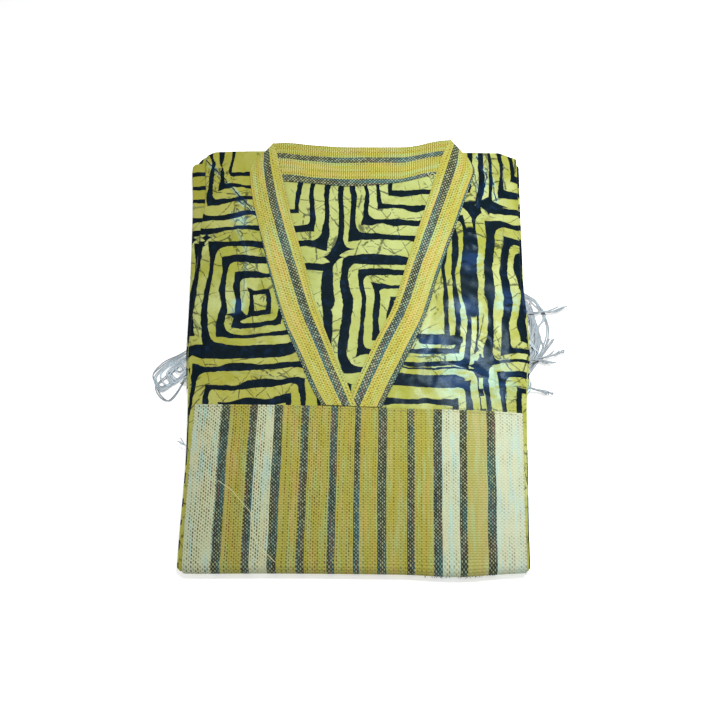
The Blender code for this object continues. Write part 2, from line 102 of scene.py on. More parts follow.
# Thickness that shows at a cut or turned edge, by slot
SHELLS = {"printed_cotton": 0.7 * MM, "inner_cotton": 0.7 * MM, "striped_cloth": 1.0 * MM}
# How an edge rolls over, how far apart points lie, and the shares of the roll that have points
ROLL = 1.0 * MM
SIDE_ROLL = 1.6 * MM
CELL = 2.4 * MM
EDGE_STEPS = (0.0, 0.12, 0.3, 0.6, 1.0)
# Rows of points round the bottom fold, for the back and for the front's cloths, and under the pile
BACK_TURN_ROWS = 14
TURN_ROWS = 16
FLAP_ROWS = 10

OUTLINE_COLUMNS = ("y", "under_left", "back_left", "front_left", "front_right", "back_right", "under_right")
OUTLINE = (
    (214, -183.5, -168.0, -170.0, 161.0, 160.0, 163.5),
    (200, -186.5, -169.6, -171.4, 162.3, 161.2, 164.5),
    (156, -183.5, -167.2, -168.8, 162.2, 161.0, 164.5),
    (120, -181.5, -170.2, -171.8, 161.8, 160.6, 164.5),
    (60, -179.5, -172.4, -173.6, 161.8, 161.0, 165.0),
    (10, -178.5, -175.0, -175.0, 165.8, 166.4, 168.5),
    (-10, -178.0, -176.0, -175.3, 166.4, 167.2, 168.7),
    (-30, -176.5, -175.0, -173.5, 165.0, 166.0, 167.5),
    (-70, -173.8, -172.0, -170.2, 162.3, 163.4, 165.0),
    (-130, -171.6, -170.2, -168.6, 161.0, 162.0, 163.5),
    (-205, -172.5, -171.1, -169.5, 159.6, 160.7, 162.0),
    (-250, -172.5, -171.1, -169.5, 159.6, 160.7, 162.0),
)
TOP_COLUMNS = ("x", "y")
FRONT_TOP = (
    (-176, 200.0), (-170, 207.5), (-160, 212.4), (-110, 213.6),
    (105, 211.6), (142, 211.0), (154, 206.6), (166, 203.0),
)
PANEL_COLUMNS = ("y", "left", "right")
PANEL = (
    (-66, -164.2, 158.4),
    (-113, -165.2, 157.8),
    (-181, -165.9, 157.1),
    (-209, -165.8, 157.4),
    (-260, -165.6, 157.6),
)
PANEL_TOP = ((-166, -67.6), (-31, -70.1), (23, -72.2), (106, -74.2), (162, -76.7))
BAND_COLUMNS = ("inner_x", "inner_y", "outer_x", "outer_y")
BAND_LEFT = (
    (-98.8, 224.9, -118.3, 198.6),
    (-90.7, 192.4, -122.6, 185.5),
    (-82.0, 157.0, -117.2, 150.5),
    (-75.2, 129.0, -109.6, 121.0),
    (-61.0, 82.0, -97.0, 72.5),
    (-46.0, 31.0, -80.6, 19.5),
    (-29.0, -12.7, -61.4, -24.5),
    (-14.6, -46.2, -46.0, -57.5),
    (-4.3, -70.6, -38.2, -69.3),
)
BAND_RIGHT = (
    (91.1, 228.7, 111.4, 201.7),
    (80.6, 202.6, 116.8, 187.0),
    (72.5, 174.0, 108.2, 161.0),
    (60.0, 132.0, 94.6, 119.5),
    (45.0, 83.0, 77.8, 71.0),
    (30.0, 33.0, 63.4, 22.8),
    (12.0, -5.0, 45.2, -19.0),
    (-3.4, -41.0, 28.0, -54.5),
    (-9.8, -56.0, 24.0, -63.0),
    (-16.2, -70.9, 20.4, -71.4),
)
BACK_BAND_COLUMNS = ("x", "low_y", "high_y")
BACK_BAND = (
    (-106, 176.5, 214.0),
    (-98, 176.2, 224.0),
    (-88, 175.5, 224.6),
    (-56, 173.0, 221.3),
    (-17, 169.8, 218.8),
    (37, 173.5, 218.8),
    (74, 182.6, 226.6),
    (89, 187.5, 228.2),
    (99, 190.5, 216.0),
)
# Soft swells of the pile: centre, reach across and along, and height, in mm
SWELLS = (
    (-112, 118, 42, 58, 1.1),
    (124, 92, 38, 66, 1.0),
    (-62, -128, 58, 46, 0.8),
    (78, -146, 66, 42, 0.9),
    (4, 62, 46, 58, -0.8),
    (132, -18, 34, 40, -0.7),
    (-132, -12, 40, 34, 0.8),
)

# Soft ridges and troughs, in mm: x and y of both ends, height, and reach to the left and right
CREASES = {
    "left": (
        (-176, 207, -117, 141, 2.6, 5.0, 1.2),
        (-140, 140, -121, 92, 1.2, 1.4, 2.6),
        (-121, 100, -122, 38, 1.2, 1.4, 2.6),
        (-134, 200, -121, 163, -0.7, 3.0, 4.0),
        (-132, 152, -113, 134, 1.8, 1.6, 5.0),
        (-164, 172, -120, 166, 0.8, 3.0, 5.0),
        (-158, 70, -148, -40, 0.7, 9.0, 12.0),
        (-100, 44, -168, 8, 0.7, 4.0, 10.0),
        (-166, -30, -60, -44, 0.9, 6.0, 3.0),
        (-140, 110, -105, 96, 0.7, 3.0, 6.0),
        (-120, 44, -86, 52, 0.7, 3.0, 6.0),
        (-152, 128, -112, 100, 0.8, 1.4, 5.0),
    ),
    "right": (
        (115, 204, 127, 176, 2.6, 1.6, 4.0),
        (126, 182, 118, 146, 1.8, 1.6, 3.0),
        (123, 206, 133, 168, -1.0, 2.0, 2.4),
        (130, 204, 139, 152, 2.0, 1.6, 5.5),
        (110, 190, 119, 152, 1.5, 1.4, 3.0),
        (148, 194, 143, 60, 0.9, 4.0, 9.0),
        (104, 120, 124, 112, 0.9, 1.4, 3.0),
        (104, 106, 124, 100, 0.8, 1.4, 3.0),
        (106, 136, 123, 130, 0.8, 1.4, 3.0),
        (60, -14, 150, -52, 1.0, 4.0, 12.0),
        (80, 22, 152, -8, 0.8, 4.0, 9.0),
        (128, 40, 133, -60, 0.9, 3.0, 7.0),
        (146, 30, 150, -55, 0.7, 3.0, 5.0),
    ),
    "back": (
        (-60, 150, 40, 120, 0.7, 7.0, 10.0),
        (-40, 90, 46, 64, 0.5, 6.0, 9.0),
        (20, 140, 44, 98, 0.6, 3.0, 5.0),
        (-22, 40, 14, 10, 0.5, 4.0, 6.0),
    ),
    "panel": (
        (-150, -120, -60, -140, 0.5, 14.0, 20.0),
        (20, -110, 140, -128, 0.5, 12.0, 18.0),
        (-90, -196, 60, -190, 0.4, 8.0, 12.0),
        (110, -90, 130, -180, 0.5, 10.0, 14.0),
    ),
}
# Share of a crease's length over which each of its ends fades
CREASE_TAPER = 0.3
# Waves of each cloth: their height and length in mm, and the seed of their directions
WAVES = {
    "sleeve": ((0.35, 34, 8),),
    "back": ((0.25, 46, 12),),
    "yoke": ((0.3, 26, 21), (0.15, 11, 22)),
    "panel": ((0.3, 52, 31),),
    "back_band": ((0.3, 32, 44),),
    "neckband_left": ((0.3, 30, 51), (0.2, 13, 52)),
    "neckband_right": ((0.3, 30, 57), (0.2, 13, 58)),
}
# How many sines make a wave, and the share of their number that their sum seldom passes
WAVE_SINES = 9
WAVE_LEVEL = 0.6


def srgb(red, green, blue):
    """Linear colour from display values of 0 to 255."""
    linear = []
    for value in (red, green, blue):
        c = value / 255
        linear.append(c / 12.92 if c <= 0.04045 else ((c + 0.055) / 1.055) ** 2.4)
    return (*linear, 1.0)


MUSTARD = srgb(155, 158, 65)
LIME = srgb(180, 187, 120)
OLIVE = srgb(126, 120, 38)
PALE_GROUND = srgb(178, 190, 124)
# Painted highlights: the ground and the ink paler and bluer where the glaze's sheen and the creases' ridges
# catch the light
SHEEN_HIGHLIGHT_GROUND = srgb(160, 192, 168)
SHEEN_HIGHLIGHT_INK = srgb(34, 62, 104)
RIPE_GROUND = srgb(158, 152, 56)
# Painted highlight that pales the woven panel towards its right
PAINTED_LIGHT_HAZE = srgb(236, 240, 230)
NAVY = srgb(4, 18, 25)
INDIGO = srgb(18, 40, 68)
GOLD = srgb(167, 162, 70)
ORANGE = srgb(190, 166, 94)
SAGE = srgb(163, 177, 108)
AMBER = srgb(173, 157, 54)
CREAM = srgb(192, 197, 161)
PALE_TEAL = srgb(174, 200, 184)
PALE_TAN = srgb(200, 191, 148)
BROWN = srgb(92, 70, 34)
RUST = srgb(132, 88, 36)
MOSS = srgb(104, 110, 62)
SOOT = srgb(44, 44, 28)
TEAL = srgb(40, 74, 74)
PLUM = srgb(78, 56, 52)
STRAW = srgb(148, 152, 112)
MIST = srgb(120, 144, 132)
# Painted shade of the weave's grooves, and of the gold stitches' outline
GROOVE_SHADE = srgb(120, 112, 70)
THREAD_PALE = srgb(216, 236, 248)
# Painted shade at a thread's outline and along its twist
THREAD_SHADE = srgb(92, 85, 80)
STRAY_CREAM = srgb(214, 208, 158)
# Also the thread under the bottom fold, partly painted shade
STRAY_DARK = srgb(24, 40, 48)
FLOOR = srgb(244, 244, 244)


def mix(a, b, t):
    return a + (b - a) * t


def ease(t):
    t = np.clip(t, 0.0, 1.0)
    return t * t * (3 - 2 * t)


def arch(distance, run):
    left = 1 - np.clip(distance / run, 0.0, 1.0)
    return 1 - left * left


def hill(distance, reach):
    return np.exp(-((distance / reach) ** 2))


def from_edge(share):
    """Share of the width from the nearer of the two edges."""
    return np.minimum(share, 1 - share)


def smooth_curve(places, values):
    """Vectorised reader of a smooth curve that never overshoots its points."""
    places = np.asarray(places, float)
    values = np.asarray(values, float)
    steps = np.diff(values) / np.diff(places)
    slopes = np.empty(len(values))
    slopes[0], slopes[-1] = steps[0], steps[-1]
    product = steps[:-1] * steps[1:]
    total = steps[:-1] + steps[1:]
    slopes[1:-1] = np.where(product > 0, 2 * product / np.where(total == 0, 1, total), 0)

    def read(at):
        at = np.asarray(at, float)
        i = np.clip(np.searchsorted(places, at, side="right") - 1, 0, len(places) - 2)
        span = places[i + 1] - places[i]
        t = np.clip((at - places[i]) / span, 0, 1)
        rise = (3 - 2 * t) * t * t
        bend = slopes[i] * t * (1 - t) ** 2 - slopes[i + 1] * t * t * (1 - t)
        inside = values[i] + (values[i + 1] - values[i]) * rise + span * bend
        below = values[0] + slopes[0] * (at - places[0])
        above = values[-1] + slopes[-1] * (at - places[-1])
        return np.where(at < places[0], below, np.where(at > places[-1], above, inside))

    return read


def column(rows, columns, at_name, value_name):
    at_index = columns.index(at_name)
    value_index = columns.index(value_name)
    points = sorted((row[at_index] * MM, row[value_index] * MM) for row in rows)
    return smooth_curve([p[0] for p in points], [p[1] for p in points])


(under_left, back_left, front_left, front_right, back_right, under_right) = (
    column(OUTLINE, OUTLINE_COLUMNS, "y", name) for name in OUTLINE_COLUMNS[1:]
)
front_top = column(FRONT_TOP, TOP_COLUMNS, "x", "y")
panel_left = column(PANEL, PANEL_COLUMNS, "y", "left")
panel_right = column(PANEL, PANEL_COLUMNS, "y", "right")
panel_top = column(PANEL_TOP, TOP_COLUMNS, "x", "y")
neck_left = column(BAND_LEFT, BAND_COLUMNS, "inner_y", "inner_x")
neck_right = column(BAND_RIGHT[:-1], BAND_COLUMNS, "inner_y", "inner_x")
seam_left = column(BAND_LEFT[1:], BAND_COLUMNS, "outer_y", "outer_x")
seam_right = column(BAND_RIGHT[1:], BAND_COLUMNS, "outer_y", "outer_x")
back_band_low = column(BACK_BAND, BACK_BAND_COLUMNS, "x", "low_y")
back_band_high = column(BACK_BAND, BACK_BAND_COLUMNS, "x", "high_y")


def cover_top(x, y):
    """Height that the back, the front and the trim are laid on, as in the part."""
    total = 0.0
    for row in SWELLS:
        cx, cy, reach_x, reach_y, height = (value * MM for value in row)
        total = total + height * hill(x - cx, reach_x) * hill(y - cy, reach_y)
    total = total * ease((y - FOLD_Y) / SWELL_FADE)
    side = np.minimum(x - under_left(y), under_right(y) - x)
    crown = CROWN * arch(side, CROWN_RUN) * arch(TOP_Y - y, CROWN_RUN) * arch(y - FOLD_Y, CROWN_RUN)
    drop = SIDE_DROP * (1 - arch(side, SIDE_RUN))
    drop = drop + NECK_DROP * (np.maximum(0.0, y - TOP_Y + NECK_RUN) / NECK_RUN) ** 2
    return EDGE_HEIGHT + crown + total - drop


def pile_top(x, y):
    """Height of the hidden layers, which are lower where the sleeves lie in them."""
    beside = ease((np.abs(x) - SLEEVE_INNER_X + SLEEVE_MARGIN + SLEEVE_FADE) / SLEEVE_FADE)
    below = ease((y - SLEEVE_END_Y + SLEEVE_MARGIN + SLEEVE_FADE) / SLEEVE_FADE)
    return cover_top(x, y) - SLEEVE_BED * beside * below


def creases(x, y, name):
    """Height of the listed ridges and troughs."""
    total = np.zeros_like(x)
    for row in CREASES[name]:
        x0, y0, x1, y1, height, reach_left, reach_right = (value * MM for value in row)
        along = np.array((x1 - x0, y1 - y0))
        length = np.hypot(*along)
        along = along / length
        t = ((x - x0) * along[0] + (y - y0) * along[1]) / length
        side = (x - x0) * -along[1] + (y - y0) * along[0]
        reach = np.where(side > 0, reach_left, reach_right)
        total += height * hill(side, reach) * ease(t / CREASE_TAPER) * ease((1 - t) / CREASE_TAPER)
    return total


def ripple(x, y, wave, seed):
    """Smooth uneven waves of about this length, from -1 to 1."""
    draw = random.Random(seed)
    total = np.zeros_like(x)
    for _ in range(WAVE_SINES):
        angle = draw.uniform(0, 2 * math.pi)
        rate = 2 * math.pi / (wave * draw.uniform(0.7, 1.5))
        phase = draw.uniform(0, 2 * math.pi)
        total += np.sin(rate * (x * math.cos(angle) + y * math.sin(angle)) + phase)
    return total / (WAVE_SINES * WAVE_LEVEL)


def outward_ripple(x, y, wave, seed):
    """The same waves from 0 to 1."""
    return 0.5 + 0.5 * ripple(x, y, wave, seed)


def waves(x, y, name):
    """Height of a cloth's own waves."""
    return sum(height * MM * ripple(x, y, length * MM, seed) for height, length, seed in WAVES[name])


# The panel's bottom fold hangs out furthest at one place, and waves a little along its length
BULGE = 2.8 * MM
BULGE_X = 92 * MM
BULGE_REACH = 34 * MM
FOLD_WAVE = 0.5 * MM
FOLD_WAVE_X = -20 * MM
FOLD_WAVE_RUN = 46 * MM


def fold_bulge(x):
    """How far the panel's bottom fold hangs out beyond a straight line."""
    return BULGE * hill(x - BULGE_X, BULGE_REACH) + FOLD_WAVE * np.sin((x - FOLD_WAVE_X) / FOLD_WAVE_RUN)


def laid(x, along, height):
    """Points of a cloth whose upper face is this high over the pile. Past the bottom fold it turns under."""
    base = cover_top(x, np.maximum(along, FOLD_Y))
    radius = (base - TRIM_TOP) / 2
    angle = math.pi * np.clip((FOLD_Y - along) / TURN_LENGTH, 0, 1)
    y_turn = FOLD_Y - (radius + height) * np.sin(angle)
    z_turn = TRIM_TOP + radius + (radius + height) * np.cos(angle)
    beyond = np.maximum(0.0, FOLD_Y - along - TURN_LENGTH)
    flat = along >= FOLD_Y
    return x, np.where(flat, along, y_turn + beyond), np.where(flat, base + height, z_turn)


def roll(distance, radius=ROLL):
    """How far a turned edge has dropped at this distance from it."""
    left = np.clip(1 - distance / radius, 0, 1)
    return radius * (1 - np.sqrt(1 - left**2))


def edge_spaced(first, last, cell=CELL):
    """Places from first to last, closer together within the turned edge at both ends."""
    length = abs(last - first)
    near = np.array(EDGE_STEPS) * ROLL / length
    count = max(2, int(round((length - 2 * ROLL) / cell)))
    middle = np.linspace(near[-1], 1 - near[-1], count + 1)[1:-1]
    shares = np.concatenate([near, middle, 1 - near[::-1]])
    return first + (last - first) * shares


def edge_shares(span, cell=CELL):
    """The same places across a cloth of this width, as shares of it."""
    return edge_spaced(0.0, span, cell) / span


def fold_rows(first, turn_rows):
    """Rows from a cloth's top edge down to the bottom fold and round it."""
    flat = edge_spaced(first, FOLD_Y)[: 1 - len(EDGE_STEPS)]
    return np.concatenate([flat, np.linspace(FOLD_Y, TURN_END, turn_rows)])


def flap_rows(first):
    """The same rows, and more on under the pile."""
    return np.concatenate([fold_rows(first, TURN_ROWS), np.linspace(TURN_END, FLAP_END, FLAP_ROWS)[1:]])


def add_object(name, data):
    made = bpy.data.objects.new(name, data)
    bpy.context.scene.collection.objects.link(made)
    return made


def add_mesh(name, points, faces, uv):
    """An object of points and faces, whose place on the cloth is its UV."""
    mesh = bpy.data.meshes.new(name)
    mesh.from_pydata([tuple(p) for p in points], [], [tuple(f) for f in faces])
    layer = mesh.uv_layers.new(name="Cloth")
    loops = np.empty(len(mesh.loops), np.int32)
    mesh.loops.foreach_get("vertex_index", loops)
    layer.data.foreach_set("uv", np.asarray(uv, np.float32)[loops].ravel())
    mesh.shade_smooth()
    return add_object(name, mesh)


def finish_piece(made, material, slot, *nodes):
    """Gives a piece its material, parents it to the root body and hides the nodes it stands for. Its slot is
    not used.
    """
    made.data.materials.append(material)
    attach(made, ROOT)
    if nodes:
        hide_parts(*nodes)


def shell(node, place, uv, material, slot):
    """Thin cloth that stands for a node, over a grid of points. Its upper face is the grid."""
    points = np.stack(place, axis=-1).reshape(-1, 3)
    rows, cols = place[0].shape
    index = np.arange(rows * cols).reshape(rows, cols)
    corners_of_cells = (index[:-1, :-1], index[:-1, 1:], index[1:, 1:], index[1:, :-1])
    faces = np.stack(corners_of_cells, axis=-1).reshape(-1, 4)
    a, b, c = (points[faces[:, k]] for k in range(3))
    if np.cross(b - a, c - a)[: cols - 1, 2].sum() < 0:
        faces = faces[:, ::-1]
    made = add_mesh(node + "_cloth", points, faces, np.stack(uv, axis=-1).reshape(-1, 2))
    solidify = made.modifiers.new("Wall", "SOLIDIFY")
    solidify.thickness = SHELLS[slot]
    solidify.offset = -1.0
    finish_piece(made, material, slot, node)
    return made


# Every noise of the cloths: cells per mm, detail, roughness, and its seed after the material's own
NOISE = {
    "slow": (0.017, 1.0, 0.5, 0),
    "quick": (0.11, 2.0, 0.6, 3),
    "stroke": (0.03, 1.0, 0.5, 7),
    "cracks broken": (0.3, 1.0, 0.5, 13),
    "smudge": (0.11, 4.0, 0.72, 17),
    "folds broken": (0.14, 2.0, 0.6, 13),
    "folds patchy": (0.09, 2.0, 0.6, 14),
    "tone": (0.02, 3.0, 0.6, 19),
    "stain": (0.06, 4.0, 0.7, 23),
    "speckle": (1.1, 2.0, 0.7, 29),
    "ink": (0.12, 3.0, 0.6, 31),
    "sheen streaks": (0.06, 3.0, 0.6, 33),
    "rough": (0.05, 3.0, 0.6, 37),
    "rucks": (0.07, 4.0, 0.62, 41),
    "puckers": (0.35, 2.0, 0.6, 43),
    "sway": (0.02, 1.0, 0.5, 0),
    "jag": (0.5, 1.0, 0.5, 2),
    "streak": (0.24, 2.0, 0.6, 7),
    "drift": (0.2, 2.0, 0.6, 9),
    "tint": (0.3, 2.0, 0.6, 11),
    "faded": (0.035, 1.0, 0.5, 13),
    "fuzz": (1.6, 3.0, 0.7, 17),
}


class Nodes:
    """Short names for the shader nodes of one material. Numbers and sockets both serve as inputs."""

    def __init__(self, name, seed=0.0):
        self.material = bpy.data.materials.new(name)
        self.material.use_nodes = True
        self.tree = self.material.node_tree
        self.seed = seed

    def feed(self, socket, value):
        if isinstance(value, bpy.types.NodeSocket):
            self.tree.links.new(value, socket)
        else:
            socket.default_value = value

    def node(self, kind, inputs, **settings):
        """A new node with these settings. Its inputs are given by name, or in their order."""
        made = self.tree.nodes.new("ShaderNode" + kind)
        for name, value in settings.items():
            setattr(made, name, value)
        for key, value in inputs.items() if isinstance(inputs, dict) else enumerate(inputs):
            self.feed(made.inputs[key], value)
        return made

    def surface(self, inputs):
        """Sets the shader's own sockets."""
        shader = self.tree.nodes["Principled BSDF"]
        for name, value in inputs.items():
            self.feed(shader.inputs[name], value)

    def math(self, operation, *values):
        return self.node("Math", values, operation=operation).outputs[0]

    def plus(self, first, second):
        return self.math("ADD", first, second)

    def minus(self, first, second):
        return self.math("SUBTRACT", first, second)

    def over(self, first, second):
        return self.math("DIVIDE", first, second)

    def most(self, first, second):
        return self.math("MAXIMUM", first, second)

    def least(self, first, second):
        return self.math("MINIMUM", first, second)

    def times(self, product, *values):
        for value in values:
            product = self.math("MULTIPLY", product, value)
        return product

    def vector(self, operation, *values):
        made = self.node("VectorMath", values, operation=operation)
        return made.outputs[1] if operation in ("DOT_PRODUCT", "DISTANCE", "LENGTH") else made.outputs[0]

    def join(self, x, y, z=0.0):
        return self.node("CombineXYZ", (x, y, z)).outputs[0]

    def split(self, vector):
        return tuple(self.node("SeparateXYZ", (vector,)).outputs)

    def cloth_uv(self):
        """Place on the cloth, in millimetres."""
        uv = self.node("UVMap", (), uv_map="Cloth").outputs[0]
        return self.vector("MULTIPLY", uv, (1000.0, 1000.0, 0.0))

    def noise_node(self, place, scale, detail, roughness, offset):
        inputs = {
            "Vector": place,
            "W": self.seed + offset,
            "Scale": scale,
            "Detail": detail,
            "Roughness": roughness,
        }
        return self.node("TexNoise", inputs, noise_dimensions="4D")

    def noise(self, place, name):
        """Noise of this name, from 0 to 1."""
        return self.noise_node(place, *NOISE[name]).outputs[0]

    def shift(self, place, name):
        """Noise of this name as a shift of up to a half each way."""
        return self.vector("SUBTRACT", self.noise_node(place, *NOISE[name]).outputs[1], (0.5, 0.5, 0.5))

    def moved(self, place, shift, reach):
        """A place moved by a shift times this reach, in millimetres."""
        return self.vector("ADD", place, self.vector("MULTIPLY", shift, (reach, reach, 0.0)))

    def grain(self, vector):
        """A random value for each whole-numbered cell."""
        return self.node("TexWhiteNoise", {"Vector": vector}, noise_dimensions="3D").outputs[0]

    def range(self, value, low, high, to_low=0.0, to_high=1.0):
        inputs = (value, low, high, to_low, to_high)
        return self.node("MapRange", inputs, interpolation_type="SMOOTHSTEP").outputs[0]

    def patches(self, place, name, low, high, to_low=0.0, to_high=1.0):
        """Soft patches where the noise of this name lies between two levels."""
        return self.range(self.noise(place, name), low, high, to_low, to_high)

    def blend(self, share, first, second, kind="MIX"):
        inputs = {0: share, 6: first, 7: second}
        return self.node("Mix", inputs, data_type="RGBA", blend_type=kind).outputs[2]

    def layers(self, colour, *rest):
        """A colour with others laid over it in turn, each given as its share and itself."""
        for share, other in rest:
            colour = self.blend(share, colour, other)
        return colour

    def bands(self, value, stops, scale):
        """Colour by place along `stops` of (end, colour), given in millimetres up to `scale`."""
        made = self.node("ValToRGB", (self.over(value, scale),))
        ramp = made.color_ramp
        ramp.interpolation = "CONSTANT"
        start = 0.0
        for i, (end, colour) in enumerate(stops):
            stop = ramp.elements[i] if i < 2 else ramp.elements.new(start / scale)
            stop.position = start / scale
            stop.color = colour
            start = end
        return made.outputs[0]

    def bump(self, height, distance, strength, normal=None):
        inputs = {"Height": height, "Distance": distance, "Strength": strength}
        if normal is not None:
            inputs["Normal"] = normal
        return self.node("Bump", inputs).outputs[0]


# The print, charted in mm.
# Motifs are nested squares: their centre, half the innermost one across and along, the steps between
# rings across, above and below, and how many rings show.
# Stars are dark places where four squares meet, and bars are where a stroke swells: centre and reach.
# Cracked places are where the wax broke most, and sheen spots get a painted sheen, pale and shiny: centre
# and reach.
FRONT_CHART = {
    "motifs": (
        (-110, 212, 27, 24, 11.5, 16.0, 16.0, 5.4),
        (-106, 40, 6, 6.5, 14.6, 17.6, 13.0, 3.75),
        (-106, -104, 31, 34, 14.3, 18.0, 18.0, 2.6),
        (53, 52, 27, 46, 11.2, 15.0, 15.0, 2.9),
        (176, 206, 15.5, 23.5, 12.6, 18.5, 18.5, 2.8),
        (185, 42, 20, 40, 16.3, 18.6, 11.6, 2.7),
        (43, -104, 47, 35, 12.8, 18.6, 18.6, 2.1),
        (179, -104, 23, 46, 14.6, 16.8, 16.8, 2.4),
        (0, -300, 400, 221, 20.0, 20.0, 20.0, 0.0),
    ),
    "stars": ((131, 147, 22, 13), (-166, 112, 7, 7), (118, -27, 14, 9), (-128, 27, 16, 9)),
    "bars": ((-120, -13, 54, 7.5), (109, 70, 8.0, 46), (78, 0, 21, 5.0), (62, -43, 40, 5.5)),
    "folds": CREASES["left"] + CREASES["right"],
    "cracked": (
        (-122, 140, 20), (-120, 78, 16), (-150, 180, 22), (76, -18, 30), (128, 180, 18), (143, 96, 14),
    ),
    "painted_sheen_spots": (
        (96, -34, 40), (70, -8, 24), (112, 84, 18), (146, 40, 20),
        (104, 30, 22), (134, -44, 28), (-128, 34, 12), (-130, 130, 14),
    ),
}
BACK_CHART = {
    "motifs": (
        (-81, 168, 8.5, 26, 14.4, 18.4, 18.4, 3.4),
        (60, 190, 30, 25, 13.8, 16.8, 16.8, 3.95),
        (34, 31, 5.5, 8, 14.0, 14.9, 18.0, 3.98),
        (-68, 10, 28, 64, 22.0, 21.0, 21.0, 0.75),
    ),
    "stars": ((-30, 90, 12, 15),),
    "bars": ((-35, 54, 6.6, 24), (15, 86, 33, 5.4), (-17, 22, 4.4, 50)),
    "folds": CREASES["back"],
    "cracked": ((18, 128, 16), (16, 64, 12), (-60, 112, 10)),
    "painted_sheen_spots": (),
}
# Where the strokes are heavier: centre and reach, and by how much of a step
HEAVY = ((138, 60, 110), (128, 20, 80))
HEAVIER = 0.11
# The ground is a riper yellow on the left, above and below this height
RIPE_MIDDLE_Y = 55.0
# How far the print, its cracks and its painted crease lines stray from their chart, slowly and quickly
SLOW_REACH = 18.0
QUICK_REACH = 3.4
CRACK_REACH = 5.0
# Powers of the outlines: rounded insides of the squares, pointed stars, and bars with round corners
CORNER_POWER = 7.0
STAR_POWER, STAR_EDGE = 0.6, 1.06
BAR_POWER, BAR_EDGE = 4.0, 1.3
STROKE_BLUR = 0.025
# A motif past its last ring counts as this many steps further away
PAST_LAST_RING = 10.0
# Ways that a net of cracks is turned and stretched
TURNED = ((0.82, 0.57, 0.0), (-0.2, 0.29, 0.0))
CROSSED = ((0.5, -0.87, 0.0), (0.3, 0.17, 0.0))
# Nets of cracks: the way they lie, cells and patches per mm, and the level where patches start
CRACK_NETS = (
    (CROSSED, 0.045, 0.02, 0.44),
    (TURNED, 0.055, 0.024, 0.47),
    (TURNED, 0.12, 0.03, 0.6),
    (CROSSED, 0.13, 0.04, 0.62),
)
# Creases lower than this have no painted shade line, and deeper ones have a stronger one
LINED_FROM = 0.75


def squares(n, place, motifs, width):
    """Share of ink of nested squares whose strokes are square outside and rounded inside."""
    nearest, ink = None, None
    for x, y, half_x, half_y, step_x, step_up, step_down, rings in motifs:
        from_x, from_y, _ = n.split(n.vector("SUBTRACT", place, (x, y, 0.0)))
        across = n.most(n.over(n.minus(n.math("ABSOLUTE", from_x), half_x), step_x), 0.0)
        above = n.over(n.minus(from_y, half_y), step_up)
        below = n.over(n.minus(n.times(from_y, -1.0), half_y), step_down)
        along = n.most(n.most(above, below), 0.0)
        sharp = n.most(across, along)
        powers = n.plus(n.math("POWER", across, CORNER_POWER), n.math("POWER", along, CORNER_POWER))
        rounded = n.math("POWER", powers, 1 / CORNER_POWER)
        past = n.minus(sharp, n.math("FLOOR", n.most(rounded, 0.0)))
        stroke = n.range(past, n.plus(width, STROKE_BLUR), n.minus(width, STROKE_BLUR))
        stroke = n.times(stroke, n.range(rounded, 0.0, 0.02))
        outside = n.math("GREATER_THAN", sharp, rings)
        away = n.plus(sharp, n.times(outside, PAST_LAST_RING))
        if nearest is None:
            nearest, ink = away, stroke
        else:
            closer = n.math("LESS_THAN", away, nearest)
            ink = n.plus(ink, n.times(n.minus(stroke, ink), closer))
            nearest = n.least(nearest, away)
    return ink


def shapes(n, place, rows, power, edge):
    """Share of ink of solid shapes. A low power gives stars, a high one bars with round corners."""
    ink = 0.0
    for x, y, reach_x, reach_y in rows:
        away = n.vector("ABSOLUTE", n.vector("SUBTRACT", place, (x, y, 0.0)))
        across, along, _ = n.split(n.vector("MULTIPLY", away, (1 / reach_x, 1 / reach_y, 0.0)))
        spread = n.plus(n.math("POWER", across, power), n.math("POWER", along, power))
        ink = n.most(ink, n.range(spread, edge, 1.0))
    return ink


def soft_spots(n, uv, rows):
    """Share of round soft spots."""
    spots = 0.0
    for x, y, reach in rows:
        spots = n.most(spots, n.range(n.vector("DISTANCE", uv, (x, y, 0.0)), reach, 0.3 * reach))
    return spots


def crackle(n, uv, slow, quick, cracked):
    """Thin lines where the wax broke: sparse hairlines, and tangles in patches."""
    spots = soft_spots(n, uv, cracked)
    bent = n.moved(n.moved(uv, slow, SLOW_REACH), quick, CRACK_REACH)
    lines = 0.0
    for way, scale, patch, low in CRACK_NETS:
        where = n.join(*(n.vector("DOT_PRODUCT", bent, row) for row in way))
        cells = n.node("TexVoronoi", {"Vector": where, "Scale": scale}, feature="DISTANCE_TO_EDGE")
        thin = n.range(cells.outputs["Distance"], 0.5 * scale, 0.15 * scale)
        patchy = n.plus(n.noise_node(uv, patch, 2.0, 0.5, 11 + scale).outputs[0], n.times(spots, 0.16))
        shown = n.range(patchy, low, low + 0.07)
        lines = n.most(lines, n.times(thin, shown, n.patches(uv, "cracks broken", 0.32, 0.46)))
    smudge = n.times(n.patches(bent, "smudge", 0.62, 0.74), n.range(spots, 0.0, 1.0, 0.3, 0.85))
    return n.most(n.times(lines, 0.75), smudge)


